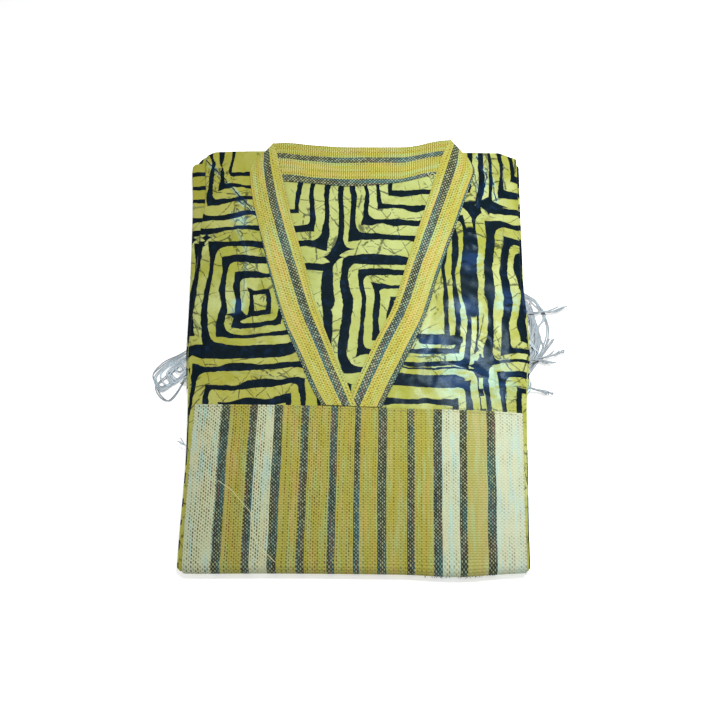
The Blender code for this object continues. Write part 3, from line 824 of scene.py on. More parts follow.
def crease_shade_and_highlight(n, uv, quick, folds):
    """Painted shade as a dark hairline in each fold's crease, and a painted highlight as a paler band along
    it.
    """
    bent = n.moved(uv, quick, CRACK_REACH)
    line, band = 0.0, 0.0
    for x0, y0, x1, y1, height, _, _ in folds:
        length = math.hypot(x1 - x0, y1 - y0)
        along = ((x1 - x0) / length, (y1 - y0) / length, 0.0)
        depth = min(1.0, max(0.0, abs(height) - LINED_FROM))
        start = n.vector("SUBTRACT", bent, (x0, y0, 0.0))
        walked = n.least(n.most(n.vector("DOT_PRODUCT", start, along), 0.0), length)
        foot = n.vector("MULTIPLY", n.join(walked, walked), along)
        away = n.vector("DISTANCE", start, foot)
        line = n.most(line, n.times(n.range(away, 0.8, 0.35), depth))
        band = n.most(band, n.times(n.range(away, 3.6, 1.0), depth))
    broken = n.patches(uv, "folds broken", 0.3, 0.44)
    patchy = n.patches(uv, "folds patchy", 0.36, 0.58)
    return n.times(line, broken), n.times(band, patchy, 0.75)


def inked_share(n, uv, slow, quick, chart):
    """Share of ink of the squares, the stars and the bars."""
    place = n.moved(n.moved(uv, slow, SLOW_REACH), quick, QUICK_REACH)
    width = n.patches(uv, "stroke", 0.32, 0.68, 0.27, 0.5)
    width = n.plus(width, n.times(soft_spots(n, uv, HEAVY), HEAVIER))
    inked = squares(n, place, chart["motifs"], width)
    inked = n.most(inked, shapes(n, place, chart["stars"], STAR_POWER, STAR_EDGE))
    return n.most(inked, shapes(n, place, chart["bars"], BAR_POWER, BAR_EDGE))


def ground_colour(n, uv, painted_sheen, crease_highlight, pale):
    """Mustard ground with limes, olives and riper places, and pale painted highlights of the glaze's sheen
    and along the creases.
    """
    x, y, _ = n.split(uv)
    from_middle = n.math("ABSOLUTE", n.minus(y, RIPE_MIDDLE_Y))
    ripe = n.times(n.range(x, 20.0, -120.0, 0.0, 0.6), n.range(from_middle, 40.0, 90.0))
    return n.layers(
        MUSTARD,
        (n.patches(uv, "tone", 0.38, 0.64), LIME),
        (n.patches(uv, "stain", 0.5, 0.75, 0.0, 0.7), OLIVE),
        (n.patches(uv, "speckle", 0.35, 0.75, 0.0, 0.25), OLIVE),
        (ripe, RIPE_GROUND),
        (pale, PALE_GROUND),
        (n.most(n.times(painted_sheen, 0.85), crease_highlight), SHEEN_HIGHLIGHT_GROUND),
    )


def printed(name, chart, seed, pale=0.0):
    """Wax print: dark nested squares on mustard, with crackle lines and a soft glaze, painted sheen in
    spots, and painted shade and highlights along the creases.
    """
    n = Nodes(name, seed)
    uv = n.cloth_uv()
    slow, quick = n.shift(uv, "slow"), n.shift(uv, "quick")
    # The creases' painted shade joins the crackle lines, and their painted highlight pales the ground and
    # the ink
    broken, crease_highlight = crease_shade_and_highlight(n, uv, quick, chart["folds"])
    lines = n.most(crackle(n, uv, slow, quick, chart["cracked"]), broken)
    # Painted sheen: pale streaky patches in the listed spots
    painted_sheen = n.patches(n.vector("MULTIPLY", uv, (1.0, 2.2, 1.0)), "sheen streaks", 0.36, 0.56)
    painted_sheen = n.times(painted_sheen, soft_spots(n, uv, chart["painted_sheen_spots"]))
    ground = ground_colour(n, uv, painted_sheen, crease_highlight, pale)
    dark = n.layers(
        NAVY,
        (n.patches(uv, "ink", 0.48, 0.8, 0.0, 0.7), INDIGO),
        (n.most(n.times(painted_sheen, 0.6), n.times(crease_highlight, 0.35)), SHEEN_HIGHLIGHT_INK),
    )
    inked = inked_share(n, uv, slow, quick, chart)

    normal = n.bump(n.noise(n.vector("MULTIPLY", uv, (1.0, 1.6, 1.0)), "rucks"), 4.2 * MM, 0.7)
    normal = n.bump(n.noise(uv, "puckers"), 0.5 * MM, 0.5, normal)
    normal = n.bump(weave_height(n, uv), 0.1 * MM, 0.35, normal)
    n.surface({
        "Base Color": n.blend(n.most(lines, inked), ground, dark),
        "Roughness": n.patches(uv, "rough", 0.3, 0.7, 0.5, 0.68),
        "Specular IOR Level": 0.05,
        "Coat Weight": 0.055,
        "Coat Roughness": 0.16,
        "Normal": normal,
    })
    return n.material


# Pitch of the print's plain weave
WEAVE_PITCH = 0.55


def weave_height(n, uv):
    """Plain weave: rounded threads that pass over and under."""
    x, y, _ = n.split(uv)
    across, along = (n.math("SINE", n.times(place, math.pi / WEAVE_PITCH)) for place in (x, y))
    return n.times(across, along)


# Stripes of the woven cloth, in mm: where each ends, and its colour
PANEL_STRIPES = (
    (27.8, "cream"), (35.3, "dark"), (55.0, "gold"), (63.0, "dark"), (79.7, "cream"), (87.7, "dark"),
    (106.1, "gold"), (113.4, "dark"), (133.6, "gold"), (140.9, "dark"), (158.3, "gold"), (163.8, "dark"),
    (181.2, "gold"), (188.5, "dark"), (208.7, "gold"), (216.0, "dark"), (234.4, "gold"), (242.4, "dark"),
    (259.1, "cream"), (267.1, "dark"), (286.8, "gold"), (294.3, "dark"), (330.0, "cream"),
)
STRIPES_WIDTH = 360.0
BAND_STRIPES = ((8.0, "gold"), (15.5, "dark"), (31.2, "gold"), (45.0, "dark"))
BACK_BAND_STRIPES = ((13.3, "gold"), (20.3, "dark"), (40.7, "gold"), (60.0, "dark"))
KIND_CODES = {"gold": (1.0, 0.0, 0.0, 1.0), "cream": (0.0, 1.0, 0.0, 1.0), "dark": (0.0, 0.0, 1.0, 1.0)}
# Stitches: width of a column in mm, and half a stitch across and along, as shares of its cell
DOT = (2.2, 0.25, 0.33)
DARK_DOT = (1.75, 0.36, 0.27)
DOT_ALONG = 3.4
DOT_LEAN = 0.2
RIB = 2.27
# How far the stripes sway and how ragged their edges are, in mm
SWAY = 2.4
JAG = 0.8
# Places across the panel between which its stitches change in strength and a pale painted highlight grows,
# in mm
STITCH_FADE_ACROSS = (20.0, 300.0)
HAZY_ACROSS = (225.0, 315.0)
HAZE = 0.11


def stitches(n, x, y, sizes, offset):
    """Staggered stitches in columns: share of one here, its chance, its column's tone, and the seams."""
    across, half_x, half_y = sizes
    column_place = n.over(x, across)
    column_index = n.math("FLOOR", column_place)
    half = n.times(n.math("FLOORED_MODULO", column_index, 2.0), 0.5)
    row_place = n.plus(n.over(y, DOT_ALONG), half)
    in_x = n.minus(n.math("FRACT", column_place), 0.5)
    in_y = n.minus(n.math("FRACT", row_place), 0.5)
    chance = n.grain(n.join(column_index, n.math("FLOOR", row_place), n.seed + offset))
    leaning = n.plus(in_x, n.times(in_y, DOT_LEAN))
    from_middle = n.vector("LENGTH", n.join(n.over(leaning, half_x), n.over(in_y, half_y)))
    dot = n.range(n.over(from_middle, n.range(chance, 0.0, 1.0, 0.8, 1.2)), 1.25, 0.7)
    tone = n.grain(n.join(column_index, 0.0, n.seed + offset + 5))
    return dot, chance, tone, n.range(n.math("ABSOLUTE", in_x), 0.3, 0.5)


def gold_yarn(n, streak, drift, tint, dot, tone):
    """Gold with sage, orange and amber runs, and brown to rust stitches."""
    ground = n.layers(
        GOLD,
        (n.range(streak, 0.44, 0.64), SAGE),
        (n.range(drift, 0.49, 0.64, 0.0, 0.52), ORANGE),
        (n.range(tint, 0.5, 0.66, 0.0, 0.6), AMBER),
    )
    stitch = n.blend(n.range(drift, 0.44, 0.6), BROWN, RUST)
    return n.blend(n.times(dot, n.range(tone, 0.0, 1.0, 0.25, 0.8)), ground, stitch)


def cream_yarn(n, uv, streak, drift, tint, dot, tone):
    """Cream with teal and tan runs, and brown to moss stitches that fade in places."""
    ground = n.layers(
        CREAM,
        (n.range(streak, 0.44, 0.64), PALE_TEAL),
        (n.range(drift, 0.5, 0.7, 0.0, 0.8), PALE_TAN),
    )
    stitch = n.blend(n.range(tint, 0.44, 0.6), BROWN, MOSS)
    faded = n.patches(uv, "faded", 0.38, 0.6, 0.35, 0.95)
    return n.blend(n.times(dot, n.range(tone, 0.0, 1.0, 0.4, 1.0), faded), ground, stitch)


def dark_yarn(n, streak, drift, tint, check, chance):
    """Soot, teal and plum runs under a pale check."""
    ground = n.layers(SOOT, (n.range(drift, 0.46, 0.62), TEAL), (n.range(tint, 0.52, 0.66), PLUM))
    stitch = n.blend(n.range(streak, 0.42, 0.62), STRAW, MIST)
    return n.blend(n.times(check, n.range(chance, 0.0, 0.9, 0.65, 1.0)), ground, stitch)


def striped(name, stripes, seed, rib=0.35, light=1.0, stitch_strength=(1.0, 1.0)):
    """Hand-woven striped cloth: columns of staggered stitches, whose colours drift along each stripe."""
    n = Nodes(name, seed)
    uv = n.cloth_uv()
    x, y, _ = n.split(uv)
    swayed = n.plus(x, n.times(n.minus(n.noise(uv, "sway"), 0.5), SWAY))
    across = n.plus(swayed, n.times(n.minus(n.noise(uv, "jag"), 0.5), JAG))
    codes = n.bands(across, [(end, KIND_CODES[kind]) for end, kind in stripes], STRIPES_WIDTH)
    _, cream, dark = n.split(codes)

    dot, _, tone, seam = stitches(n, swayed, y, DOT, 0)
    check, chance, _, _ = stitches(n, swayed, y, DARK_DOT, 1)
    dot = n.times(dot, n.range(x, *STITCH_FADE_ACROSS, *stitch_strength))
    streak_uv = n.vector("MULTIPLY", uv, (1.0, 0.09, 1.0))
    runs = [n.noise(streak_uv, run) for run in ("streak", "drift", "tint")]
    colour = n.layers(
        gold_yarn(n, *runs, dot, tone),
        (cream, cream_yarn(n, uv, *runs, dot, tone)),
        # Painted highlight: the panel paler towards its right
        (n.range(x, *HAZY_ACROSS, 0.0, HAZE), PAINTED_LIGHT_HAZE),
        (dark, dark_yarn(n, *runs, check, chance)),
    )
    wave = n.math("SINE", n.times(y, 2 * math.pi / RIB))
    across_share = n.minus(1.0, n.most(n.times(dark, 0.7), n.times(cream, 0.7)))
    along_share = n.times(n.minus(1.0, dark), 0.32)
    # Painted shade: the troughs between ribs and the seams between stitch columns darkened
    groove_shade = n.most(n.times(n.range(wave, 0.2, -1.0, 0.0, rib), across_share), n.times(seam, along_share))
    colour = n.blend(groove_shade, colour, GROOVE_SHADE, "MULTIPLY")

    normal = n.bump(n.plus(n.times(dot, 0.5), n.times(wave, 0.25)), 0.4 * MM, 0.6)
    n.surface({
        # The factor light brightens or dims a cloth's whole colour: painted light
        "Base Color": n.vector("MULTIPLY", colour, (light, light, light)),
        "Roughness": 0.85,
        "Specular IOR Level": 0.2,
        "Sheen Weight": 0.06,
        "Sheen Roughness": 0.45,
        "Normal": n.bump(n.noise(uv, "fuzz"), 0.25 * MM, 0.4, normal),
    })
    return n.material


# How much painted shade dims the outer strands of a fringe
OUTER_SHADE = 0.5


def threads(name, middle, edge):
    """Loose cotton thread with painted shade: dimmer towards its outline and along its twist. Strands at
    negative places are dimmer all over, also as painted shade.
    """
    n = Nodes(name)
    x, y, _ = n.split(n.cloth_uv())
    facing = n.node("LayerWeight", {"Blend": 0.5}).outputs["Facing"]
    chance = n.grain(n.join(n.math("FLOOR", x), 0.0, 2.0))
    twist = n.math("SINE", n.plus(n.times(y, 5.0), n.times(x, 2 * math.pi)))
    shares = (
        n.times(chance, 0.3),
        n.times(n.math("LESS_THAN", x, 0.0), OUTER_SHADE),
        n.range(facing, 0.1, 0.42),
        n.range(twist, 0.2, 1.0, 0.0, 0.3),
    )
    n.surface({
        "Base Color": n.layers(middle, *((share, edge) for share in shares)),
        "Roughness": 0.9,
        "Sheen Weight": 0.3,
        "Normal": n.bump(twist, 0.15 * MM, 0.6),
    })
    return n.material


# The sleeves lie in a bed as deep as they are thick, so their upper faces end level with the pile's cover.
# Their cloth: its nominal width, and the place along its fold where its reach is measured
SLEEVE_SPAN = 83 * MM
SLEEVE_MEASURED_Y = 100 * MM
# Its top edge shows below the front's corner: a step down, a gap, and a rounded outer corner
SLEEVE_TOP_DROP = 11 * MM
SLEEVE_STEP = 12 * MM
SLEEVE_TOP_GAP = 3 * MM
SLEEVE_CORNER_DROP = 4 * MM
SLEEVE_CORNER_RUN = 5 * MM
# Its outer fold waves by this much, at this length, and rolls over more than other edges
SLEEVE_WAVE = 0.5 * MM
SLEEVE_WAVE_LENGTH = 60 * MM
SLEEVE_WAVE_SEED = 5
SLEEVE_ROLL = 2.0 * MM
SLEEVE_FLAT_EDGE = 6 * MM
# It shows another part of the print than the front beside it
SLEEVE_TUCK_Y = 148 * MM
SLEEVE_SHIFT_HIGH = 70 * MM
SLEEVE_SHIFT_LOW = 16 * MM


def build_sleeve(name, edge, inner_x, material):
    length = TOP_Y - SLEEVE_END_Y
    s, t = np.meshgrid(edge_shares(SLEEVE_SPAN), edge_shares(length))
    reach = abs(inner_x - float(edge(SLEEVE_MEASURED_Y)))
    inward = s * reach
    cut = SLEEVE_TOP_DROP * (1 - ease((inward - SLEEVE_STEP) / SLEEVE_STEP)) + SLEEVE_TOP_GAP
    cut = cut + SLEEVE_CORNER_DROP * (1 - arch(inward, SLEEVE_CORNER_RUN))
    y = mix(TOP_Y - cut, SLEEVE_END_Y, t)
    wave = SLEEVE_WAVE * outward_ripple(0 * y, y, SLEEVE_WAVE_LENGTH, SLEEVE_WAVE_SEED)
    x = mix(edge(y) + np.sign(inner_x) * wave, inner_x, s)
    z = cover_top(x, y) + waves(x, y, "sleeve") * ease(inward / SLEEVE_FLAT_EDGE)
    z = z - roll(inward, SLEEVE_ROLL) - roll(t * length)
    shift = np.where(y > SLEEVE_TUCK_Y, SLEEVE_SHIFT_HIGH, SLEEVE_SHIFT_LOW)
    made = shell(name, (x, y, z), (x - np.sign(x) * shift, y), material, "printed_cotton")


# The back: its nominal width, its top, how far it shows over the front's top, and where that starts
BACK_SPAN = 340 * MM
BACK_TOP_Y = TOP_Y - 1 * MM
BACK_OVER_FRONT = 0.5 * MM
BACK_SHAPED_Y = 150 * MM
BACK_SHAPED_RUN = 50 * MM
# Its waves and creases fade towards the neckbands
NECK_CLEAR = 12 * MM


def build_back(material):
    s, a = np.meshgrid(edge_shares(BACK_SPAN), fold_rows(BACK_TOP_Y, BACK_TURN_ROWS))
    y = np.maximum(a, FOLD_Y)
    x = mix(back_left(y), back_right(y), s)
    top = np.minimum(BACK_TOP_Y, front_top(x) + BACK_OVER_FRONT)
    a = a - (BACK_TOP_Y - top) * ease((a - BACK_SHAPED_Y) / BACK_SHAPED_RUN)
    y = np.maximum(a, FOLD_Y)
    free = ease((x - neck_left(y)) / NECK_CLEAR) * ease((neck_right(y) - x) / NECK_CLEAR)
    lift = LIFT_BACK + (creases(x, y, "back") + waves(x, y, "back")) * free
    width = back_right(y) - back_left(y)
    lift = lift - roll(from_edge(s) * width) - roll(np.maximum(0.0, top - a))
    made = shell("dress_back", laid(x, a, lift), (x, a), material, "inner_cotton")


# The nominal width of each front
YOKE_SPAN = 166 * MM
# The front's folds are flat near the band's seam and near the panel, and grow beyond
SEAM_FLAT, SEAM_FADE = 1 * MM, 9 * MM
PANEL_FLAT, PANEL_FADE = 4 * MM, 16 * MM
# A small tuck at each top corner, in mm: print that it hides, a point on it, its way across, its fade
TUCKS = {
    "left": (4.0, -131, 170, 0.7, 0.72, 20),
    "right": (-4.0, 132, 0, -1.0, 0.0, 24),
}
TUCK_EDGE = 1.5
TUCK_LOW_Y = 140
TUCK_SLANT = 0.6


def tuck_shift(x, y, side):
    """The print jumps where a small tuck hides some cloth."""
    hidden, at_x, at_y, way_x, way_y, fade = TUCKS[side]
    past = (x / MM - at_x) * way_x + (y / MM - at_y) * way_y
    return hidden * MM * ease(past / TUCK_EDGE) * ease((y / MM - TUCK_LOW_Y) / fade)


def build_yoke(name, side, outer, inner, seam, material):
    length = TOP_Y - YOKE_END_Y
    s, t = np.meshgrid(edge_shares(YOKE_SPAN), edge_shares(length))
    straight = mix(TOP_Y, YOKE_END_Y, t)
    y = mix(front_top(mix(outer(straight), inner(straight), s)), YOKE_END_Y, t)
    x = mix(outer(y), inner(y), s)
    clear = np.maximum(0.0, (x - seam(y)) * np.sign(x))
    free = ease((clear - SEAM_FLAT) / SEAM_FADE) * ease((y - YOKE_END_Y - PANEL_FLAT) / PANEL_FADE)
    lift = LIFT_FRONT + (creases(x, y, side) + waves(x, y, "yoke")) * free
    lift = lift - roll(s * np.abs(inner(y) - outer(y)), SIDE_ROLL) - roll(t * length)
    tuck = tuck_shift(x, y, side)
    uv = (x + tuck, y + tuck * TUCK_SLANT)
    made = shell(name, (x, y, cover_top(x, y) + lift), uv, material, "printed_cotton")


def inner_left(y):
    return np.minimum(neck_left(y) - NECK_LAP, CENTRE_SEAM_X - HALF_GAP)


def inner_right(y):
    return np.maximum(neck_right(y) + NECK_LAP, CENTRE_SEAM_X + HALF_GAP)


# The skirt front's nominal width, and the run over which its rolled sides fade as it turns under
SKIRT_SPAN = 330 * MM
SKIRT_FADE = 20 * MM


def build_skirt_front(material):
    s, a = np.meshgrid(edge_shares(SKIRT_SPAN), flap_rows(YOKE_END_Y))
    y = np.maximum(a, FOLD_Y)
    x = mix(front_left(y), front_right(y), s)
    edge = from_edge(s) * (front_right(y) - front_left(y))
    lift = LIFT_FRONT - roll(edge, SIDE_ROLL) * ease((a - TURN_END) / SKIRT_FADE + 1)
    made = shell("skirt_front", laid(x, a, lift), (x, a), material, "printed_cotton")


# The panel's nominal width, and where the left end of its top edge lies
PANEL_SPAN = 325 * MM
PANEL_TOP_Y = PANEL_TOP[0][1] * MM
# The rows follow the slant of its top edge less and less over this length
PANEL_SLANT_RUN = 150 * MM
# Its folds fade towards its top, its sides and the bottom fold
PANEL_TOP_FADE = 14 * MM
PANEL_SIDE_FADE = 10 * MM
PANEL_FOLD_FADE = 16 * MM
# The sewn groove of its hem: depth, place, half width, and how far from the sides it ends
HEM_DEPTH = 0.35 * MM
HEM_PLACE = 5 * MM
HEM_REACH = 1.6 * MM
HEM_END = 4 * MM
# Where the stripes lie on it, and how far they lean out at the left and right, below its top
PANEL_CENTRE_X = -3.5 * MM
PANEL_CENTRE_U = 161.05 * MM
LEAN_FROM_Y, LEAN_RUN_Y = -70 * MM, 150 * MM
LEFT_LEAN, LEFT_LEAN_RUN, LEFT_LEAN_MOST = 2.4 * MM, 150 * MM, 1.1
RIGHT_LEAN, RIGHT_LEAN_X, RIGHT_LEAN_RUN = 1.5 * MM, 40 * MM, 100 * MM
# The bottom fold starts to hang out this far before it
BULGE_START = 6 * MM


def panel_lean(x, a):
    """How far the stripes lean sideways, more and more towards the bottom fold."""
    depth = np.clip((LEAN_FROM_Y - a) / LEAN_RUN_Y, 0, 1)
    left = LEFT_LEAN * np.clip(-x / LEFT_LEAN_RUN, 0, LEFT_LEAN_MOST)
    right = RIGHT_LEAN * np.clip((x - RIGHT_LEAN_X) / RIGHT_LEAN_RUN, 0, 1)
    return (left + right) * depth


def build_panel(material):
    s, a = np.meshgrid(edge_shares(PANEL_SPAN), flap_rows(PANEL_TOP_Y))
    y = np.maximum(a, FOLD_Y)
    x = mix(panel_left(y), panel_right(y), s)
    top = panel_top(x)
    a = a + (top - PANEL_TOP_Y) * (1 - ease((PANEL_TOP_Y - a) / PANEL_SLANT_RUN))
    y = np.maximum(a, FOLD_Y)
    edge = from_edge(s) * (panel_right(y) - panel_left(y))
    free = ease((top - a) / PANEL_TOP_FADE) * ease(edge / PANEL_SIDE_FADE)
    free = free * ease((a - FOLD_Y) / PANEL_FOLD_FADE)
    hem = HEM_DEPTH * hill(top - a - HEM_PLACE, HEM_REACH) * ease(edge / HEM_END)
    lift = LIFT_TRIM + (creases(x, y, "panel") + waves(x, y, "panel")) * free
    lift = lift - hem - roll(edge) - roll(top - a)
    u = x - PANEL_CENTRE_X + PANEL_CENTRE_U + panel_lean(x, a)
    x, y, z = laid(x, a, lift)
    turned = np.clip((FOLD_Y + BULGE_START - a) / (TURN_LENGTH + BULGE_START), 0, 1)
    y = y - fold_bulge(x) * np.sin(math.pi * turned)
    made = shell("woven_panel", (x, y, z), (u, a), material, "striped_cloth")


# A front neckband: its width, how far apart points lie across and along it, how finely its length is
# measured, and how near its edges its waves fade
BAND_WIDTH = 34 * MM
BAND_CELL = 1.7 * MM
BAND_ROW = 2.0 * MM
BAND_SAMPLES = 2400
BAND_FADE = 5 * MM
# The groove where its edges are turned in and sewn: depth, place, half width, and its ends
TURNED_DEPTH = 0.3 * MM
TURNED_PLACE = 4 * MM
TURNED_REACH = 1.2 * MM
TURNED_END = 4 * MM
# At the point the right band sinks under the left one, which rises by the rest
LAP_HEIGHT = 1.1 * MM
BAND_LAP = 0.7 * MM
LEFT_LAP_Y, LEFT_LAP_RUN = -30 * MM, 25 * MM
RIGHT_LAP_Y, RIGHT_LAP_RUN = -20 * MM, 20 * MM
LAP_SIDE = 6 * MM


def band_reader(rows):
    """Reader of places on a band, from its row and its share across from the inner edge."""
    inner_x, inner_y, outer_x, outer_y = (
        smooth_curve(range(len(rows)), [row[k] * MM for row in rows]) for k in range(4)
    )

    def read(place, share):
        return mix(inner_x(place), outer_x(place), share), mix(inner_y(place), outer_y(place), share)

    return read


def band_lap(name, x, y):
    """How far the left band rises over the right one at the point, or the right one sinks."""
    if name == "neckband_left":
        return (LAP_HEIGHT - BAND_LAP) * ease((LEFT_LAP_Y - y) / LEFT_LAP_RUN)
    under = ease((neck_left(y) + LAP_SIDE - x) / LAP_SIDE)
    return -BAND_LAP * under * ease((RIGHT_LAP_Y - y) / RIGHT_LAP_RUN)


def build_band(name, rows, offsets, material):
    """A front neckband. The offsets move its stripes sideways at its top and at the point, in mm."""
    read = band_reader(rows)
    place = np.linspace(0, len(rows) - 1, BAND_SAMPLES)
    middle_x, middle_y = read(place, 0.5)
    lengths = np.concatenate([[0], np.cumsum(np.hypot(np.diff(middle_x), np.diff(middle_y)))])
    length = float(lengths[-1])
    s, v = np.meshgrid(edge_shares(BAND_WIDTH, BAND_CELL), edge_spaced(0.0, length, BAND_ROW))
    x, y = read(np.interp(v, lengths, place), s)
    edge = from_edge(s) * BAND_WIDTH
    ends = np.minimum(v, length - v)
    turned = TURNED_DEPTH * hill(edge - TURNED_PLACE, TURNED_REACH) * ease(ends / TURNED_END)
    lift = LIFT_TRIM + waves(x, y, name) * ease(edge / BAND_FADE) - turned + band_lap(name, x, y)
    z = cover_top(x, y) + lift - roll(edge) - roll(ends)
    u = s * BAND_WIDTH + mix(offsets[0], offsets[1], ease(v / length)) * MM
    made = shell(name, (x, y, z), (u, v), material, "striped_cloth")


# The back neckband: its nominal length and width, and how near its edges and ends its waves fade
BACK_BAND_SPAN = 190 * MM
BACK_BAND_WIDTH = 49 * MM
BACK_BAND_FADE = 6 * MM
BACK_BAND_END_FADE = 14 * MM
# Its ends lie under the front bands, within their cut shoulders
BACK_BAND_LAP = NECK_LAP - 1 * MM
SHOULDER_SLOPE = 0.8
SHOULDER_GAP = 1.5 * MM


def back_band_left(y):
    shoulder_x, shoulder_y = (value * MM for value in BAND_LEFT[0][:2])
    shoulder = shoulder_x - SHOULDER_SLOPE * (shoulder_y - y) + SHOULDER_GAP
    return np.maximum(neck_left(y) - BACK_BAND_LAP, shoulder)


def back_band_right(y):
    shoulder_x, shoulder_y = (value * MM for value in BAND_RIGHT[0][:2])
    shoulder = shoulder_x + SHOULDER_SLOPE * (shoulder_y - y) - SHOULDER_GAP
    return np.minimum(neck_right(y) + BACK_BAND_LAP, shoulder)


def build_back_band(material):
    s, t = np.meshgrid(edge_shares(BACK_BAND_SPAN, BAND_ROW), edge_shares(BACK_BAND_WIDTH, BAND_CELL))
    guess = mix(BACK_BAND[1][0] * MM, BACK_BAND[-2][0] * MM, s)
    y = mix(back_band_high(guess), back_band_low(guess), t)
    x = mix(back_band_left(y), back_band_right(y), s)
    height = back_band_high(guess) - back_band_low(guess)
    edge = from_edge(t) * height
    end = from_edge(s) * BACK_BAND_SPAN
    free = ease(edge / BACK_BAND_FADE) * ease(end / BACK_BAND_END_FADE)
    lift = LIFT_BACK_BAND + waves(x, y, "back_band") * free - roll(edge) - roll(end)
    place = (x, y, cover_top(x, y) + lift)
    made = shell("neckband_back", place, (t * height, x), material, "striped_cloth")


# The pile's outline: how far its straight sides stop before their ends, and its numbers of points
RIM = 3 * MM
NEAR_POINTS = 60
SIDE_POINTS = 90
TOP_POINTS = 80
CORNER_POINTS = 9
# Its top edge wanders between the bands, and at this place among the waves
TOP_WANDER_X = 130 * MM
TOP_WANDER_RUN = 60 * MM
TOP_WANDER_PLACE = 9.0


def plan_ring(near, inset, wander):
    """Outline of the pile seen from above. `wander` moves its sides in and out by place."""
    high = TOP_Y - PILE_INSET - inset
    corner_y = high - PILE_CORNER
    rim = FOLD_Y + RIM

    def left_x(y):
        return under_left(y) + PILE_INSET + inset + wander(-1.0 + 0 * y, y)

    def right_x(y):
        return under_right(y) - PILE_INSET - inset - wander(1.0 + 0 * y, y)

    def arc(turn):
        return PILE_CORNER * (1 - np.sin(math.pi / 2 * turn))

    low_right = float(near(float(under_right(rim)) - PILE_INSET)) + RIM
    low_left = float(near(float(under_left(rim)) + PILE_INSET)) + RIM
    near_x = np.linspace(float(left_x(rim)) + RIM, float(right_x(rim)) - RIM, NEAR_POINTS)
    right_y = np.linspace(low_right, corner_y, SIDE_POINTS)
    left_y = np.linspace(corner_y, low_left, SIDE_POINTS)
    turns = np.linspace(0, 1, CORNER_POINTS)[1:-1]
    right_corner, left_corner = float(right_x(corner_y)), float(left_x(corner_y))
    top_x = np.linspace(right_corner - PILE_CORNER, left_corner + PILE_CORNER, TOP_POINTS)
    top_free = ease((PILE_CORNER + TOP_WANDER_X - np.abs(top_x)) / TOP_WANDER_RUN)
    top_y = high - wander(top_x, 0 * top_x + TOP_WANDER_PLACE) * top_free
    right_arc, left_arc = right_corner - arc(1 - turns), left_corner + arc(turns)
    x = np.concatenate([near_x, right_x(right_y), right_arc, top_x, left_arc, left_x(left_y)])
    y = np.concatenate([near(near_x), right_y, high - arc(turns), top_y, high - arc(1 - turns), left_y])
    return x, y


# Heights where the layers part, and rows of points on each, in mm
LAYER_TOPS = (0.0, 2.3, 5.2, 8.1, 10.9, 13.2)
LAYER_ROWS = 9
# How deep the grooves between the layers are, and how sharply they close
PART_DEPTH = 2.7 * MM
PART_POWER = 0.7
# How far the layers' edges wander, at what length, and how unlike the two sides are
LAYER_WANDER = 0.7 * MM
LAYER_WAVE = 70 * MM
SIDES_APART = 7.0
LAYER_SEED = 60
# Share of the fold's half round that the pile fills. Further down than this under the trim's top, it
# ends beside the flap.
BELLY = 0.96
FLAP_CLEAR = 0.3 * MM
# Rings of the pile's top, as shares of its rim
TOP_SHARES = (0.985, 0.96, 0.92, 0.86, 0.78, 0.68, 0.56, 0.42, 0.26, 0.1)
# How far the print moves along for each step up the pile's sides
SIDE_SLANT = 1.5


def half_round(share):
    """How far a round side stands out at this share of its height, from 0 to 1."""
    return math.sqrt(max(0.0, 1 - (2 * share - 1) ** 2))


def pile_ring(height, inset, layer):
    """One ring of points round the pile's side."""
    share = min(1.0, max(0.0, (height - TRIM_TOP) / (EDGE_HEIGHT - TRIM_TOP)))
    belly = half_round(share) * BELLY

    def wander(x, y):
        return LAYER_WANDER * outward_ripple(x * SIDES_APART, y, LAYER_WAVE, LAYER_SEED + layer)

    def flap_edge(x):
        return FOLD_Y + FLAP + 0 * x

    def fold_edge(x):
        return FOLD_Y - belly * (cover_top(x, FOLD_Y) - TRIM_TOP) / 2

    if height < TRIM_TOP - FLAP_CLEAR:
        x, y = plan_ring(flap_edge, inset, wander)
        return x, y, np.full_like(x, height)
    x, y = plan_ring(fold_edge, inset, wander)
    return x, y, mix(TRIM_TOP, pile_top(x, y), share)


def ring_faces(first, count, rings):
    """Faces between rings of `count` points each, from the point numbered `first` on."""
    faces = []
    for row in range(first, first + (rings - 1) * count, count):
        for k in range(count):
            m = (k + 1) % count
            faces.append((row + k, row + m, row + count + m, row + count + k))
    return faces


def build_pile(material):
    """Hidden layers: one solid whose sides show the folded edges of its layers."""
    loops = []
    for layer, (low, high) in enumerate(zip(LAYER_TOPS, LAYER_TOPS[1:])):
        for t in np.linspace(0, 1, LAYER_ROWS):
            inset = mix(PART_DEPTH, 0.0, half_round(t) ** PART_POWER)
            loops.append(pile_ring(mix(low, high, t) * MM, inset, layer))
    rim_x, rim_y, _ = loops[-1]
    middle_x, middle_y = rim_x.mean(), (FOLD_Y + TOP_Y) / 2
    for share in TOP_SHARES:
        x, y = mix(middle_x, rim_x, share), mix(middle_y, rim_y, share)
        loops.append((x, y, pile_top(x, y)))
    count = len(rim_x)
    points = [np.stack(loop, axis=-1) for loop in loops]
    points.append(np.array([[middle_x, middle_y, float(pile_top(middle_x, middle_y))]]))
    points = np.concatenate(points)
    faces = ring_faces(0, count, len(loops))
    last = (len(loops) - 1) * count
    for i in range(count):
        faces.append((last + i, last + (i + 1) % count, len(points) - 1))
    faces.append(tuple(reversed(range(count))))
    uv = points[:, :2] + points[:, 2:3] * SIDE_SLANT
    made = add_mesh("folded_layers_cloth", points, faces, uv)
    finish_piece(made, material, "printed_cotton", "folded_skirt_layers")


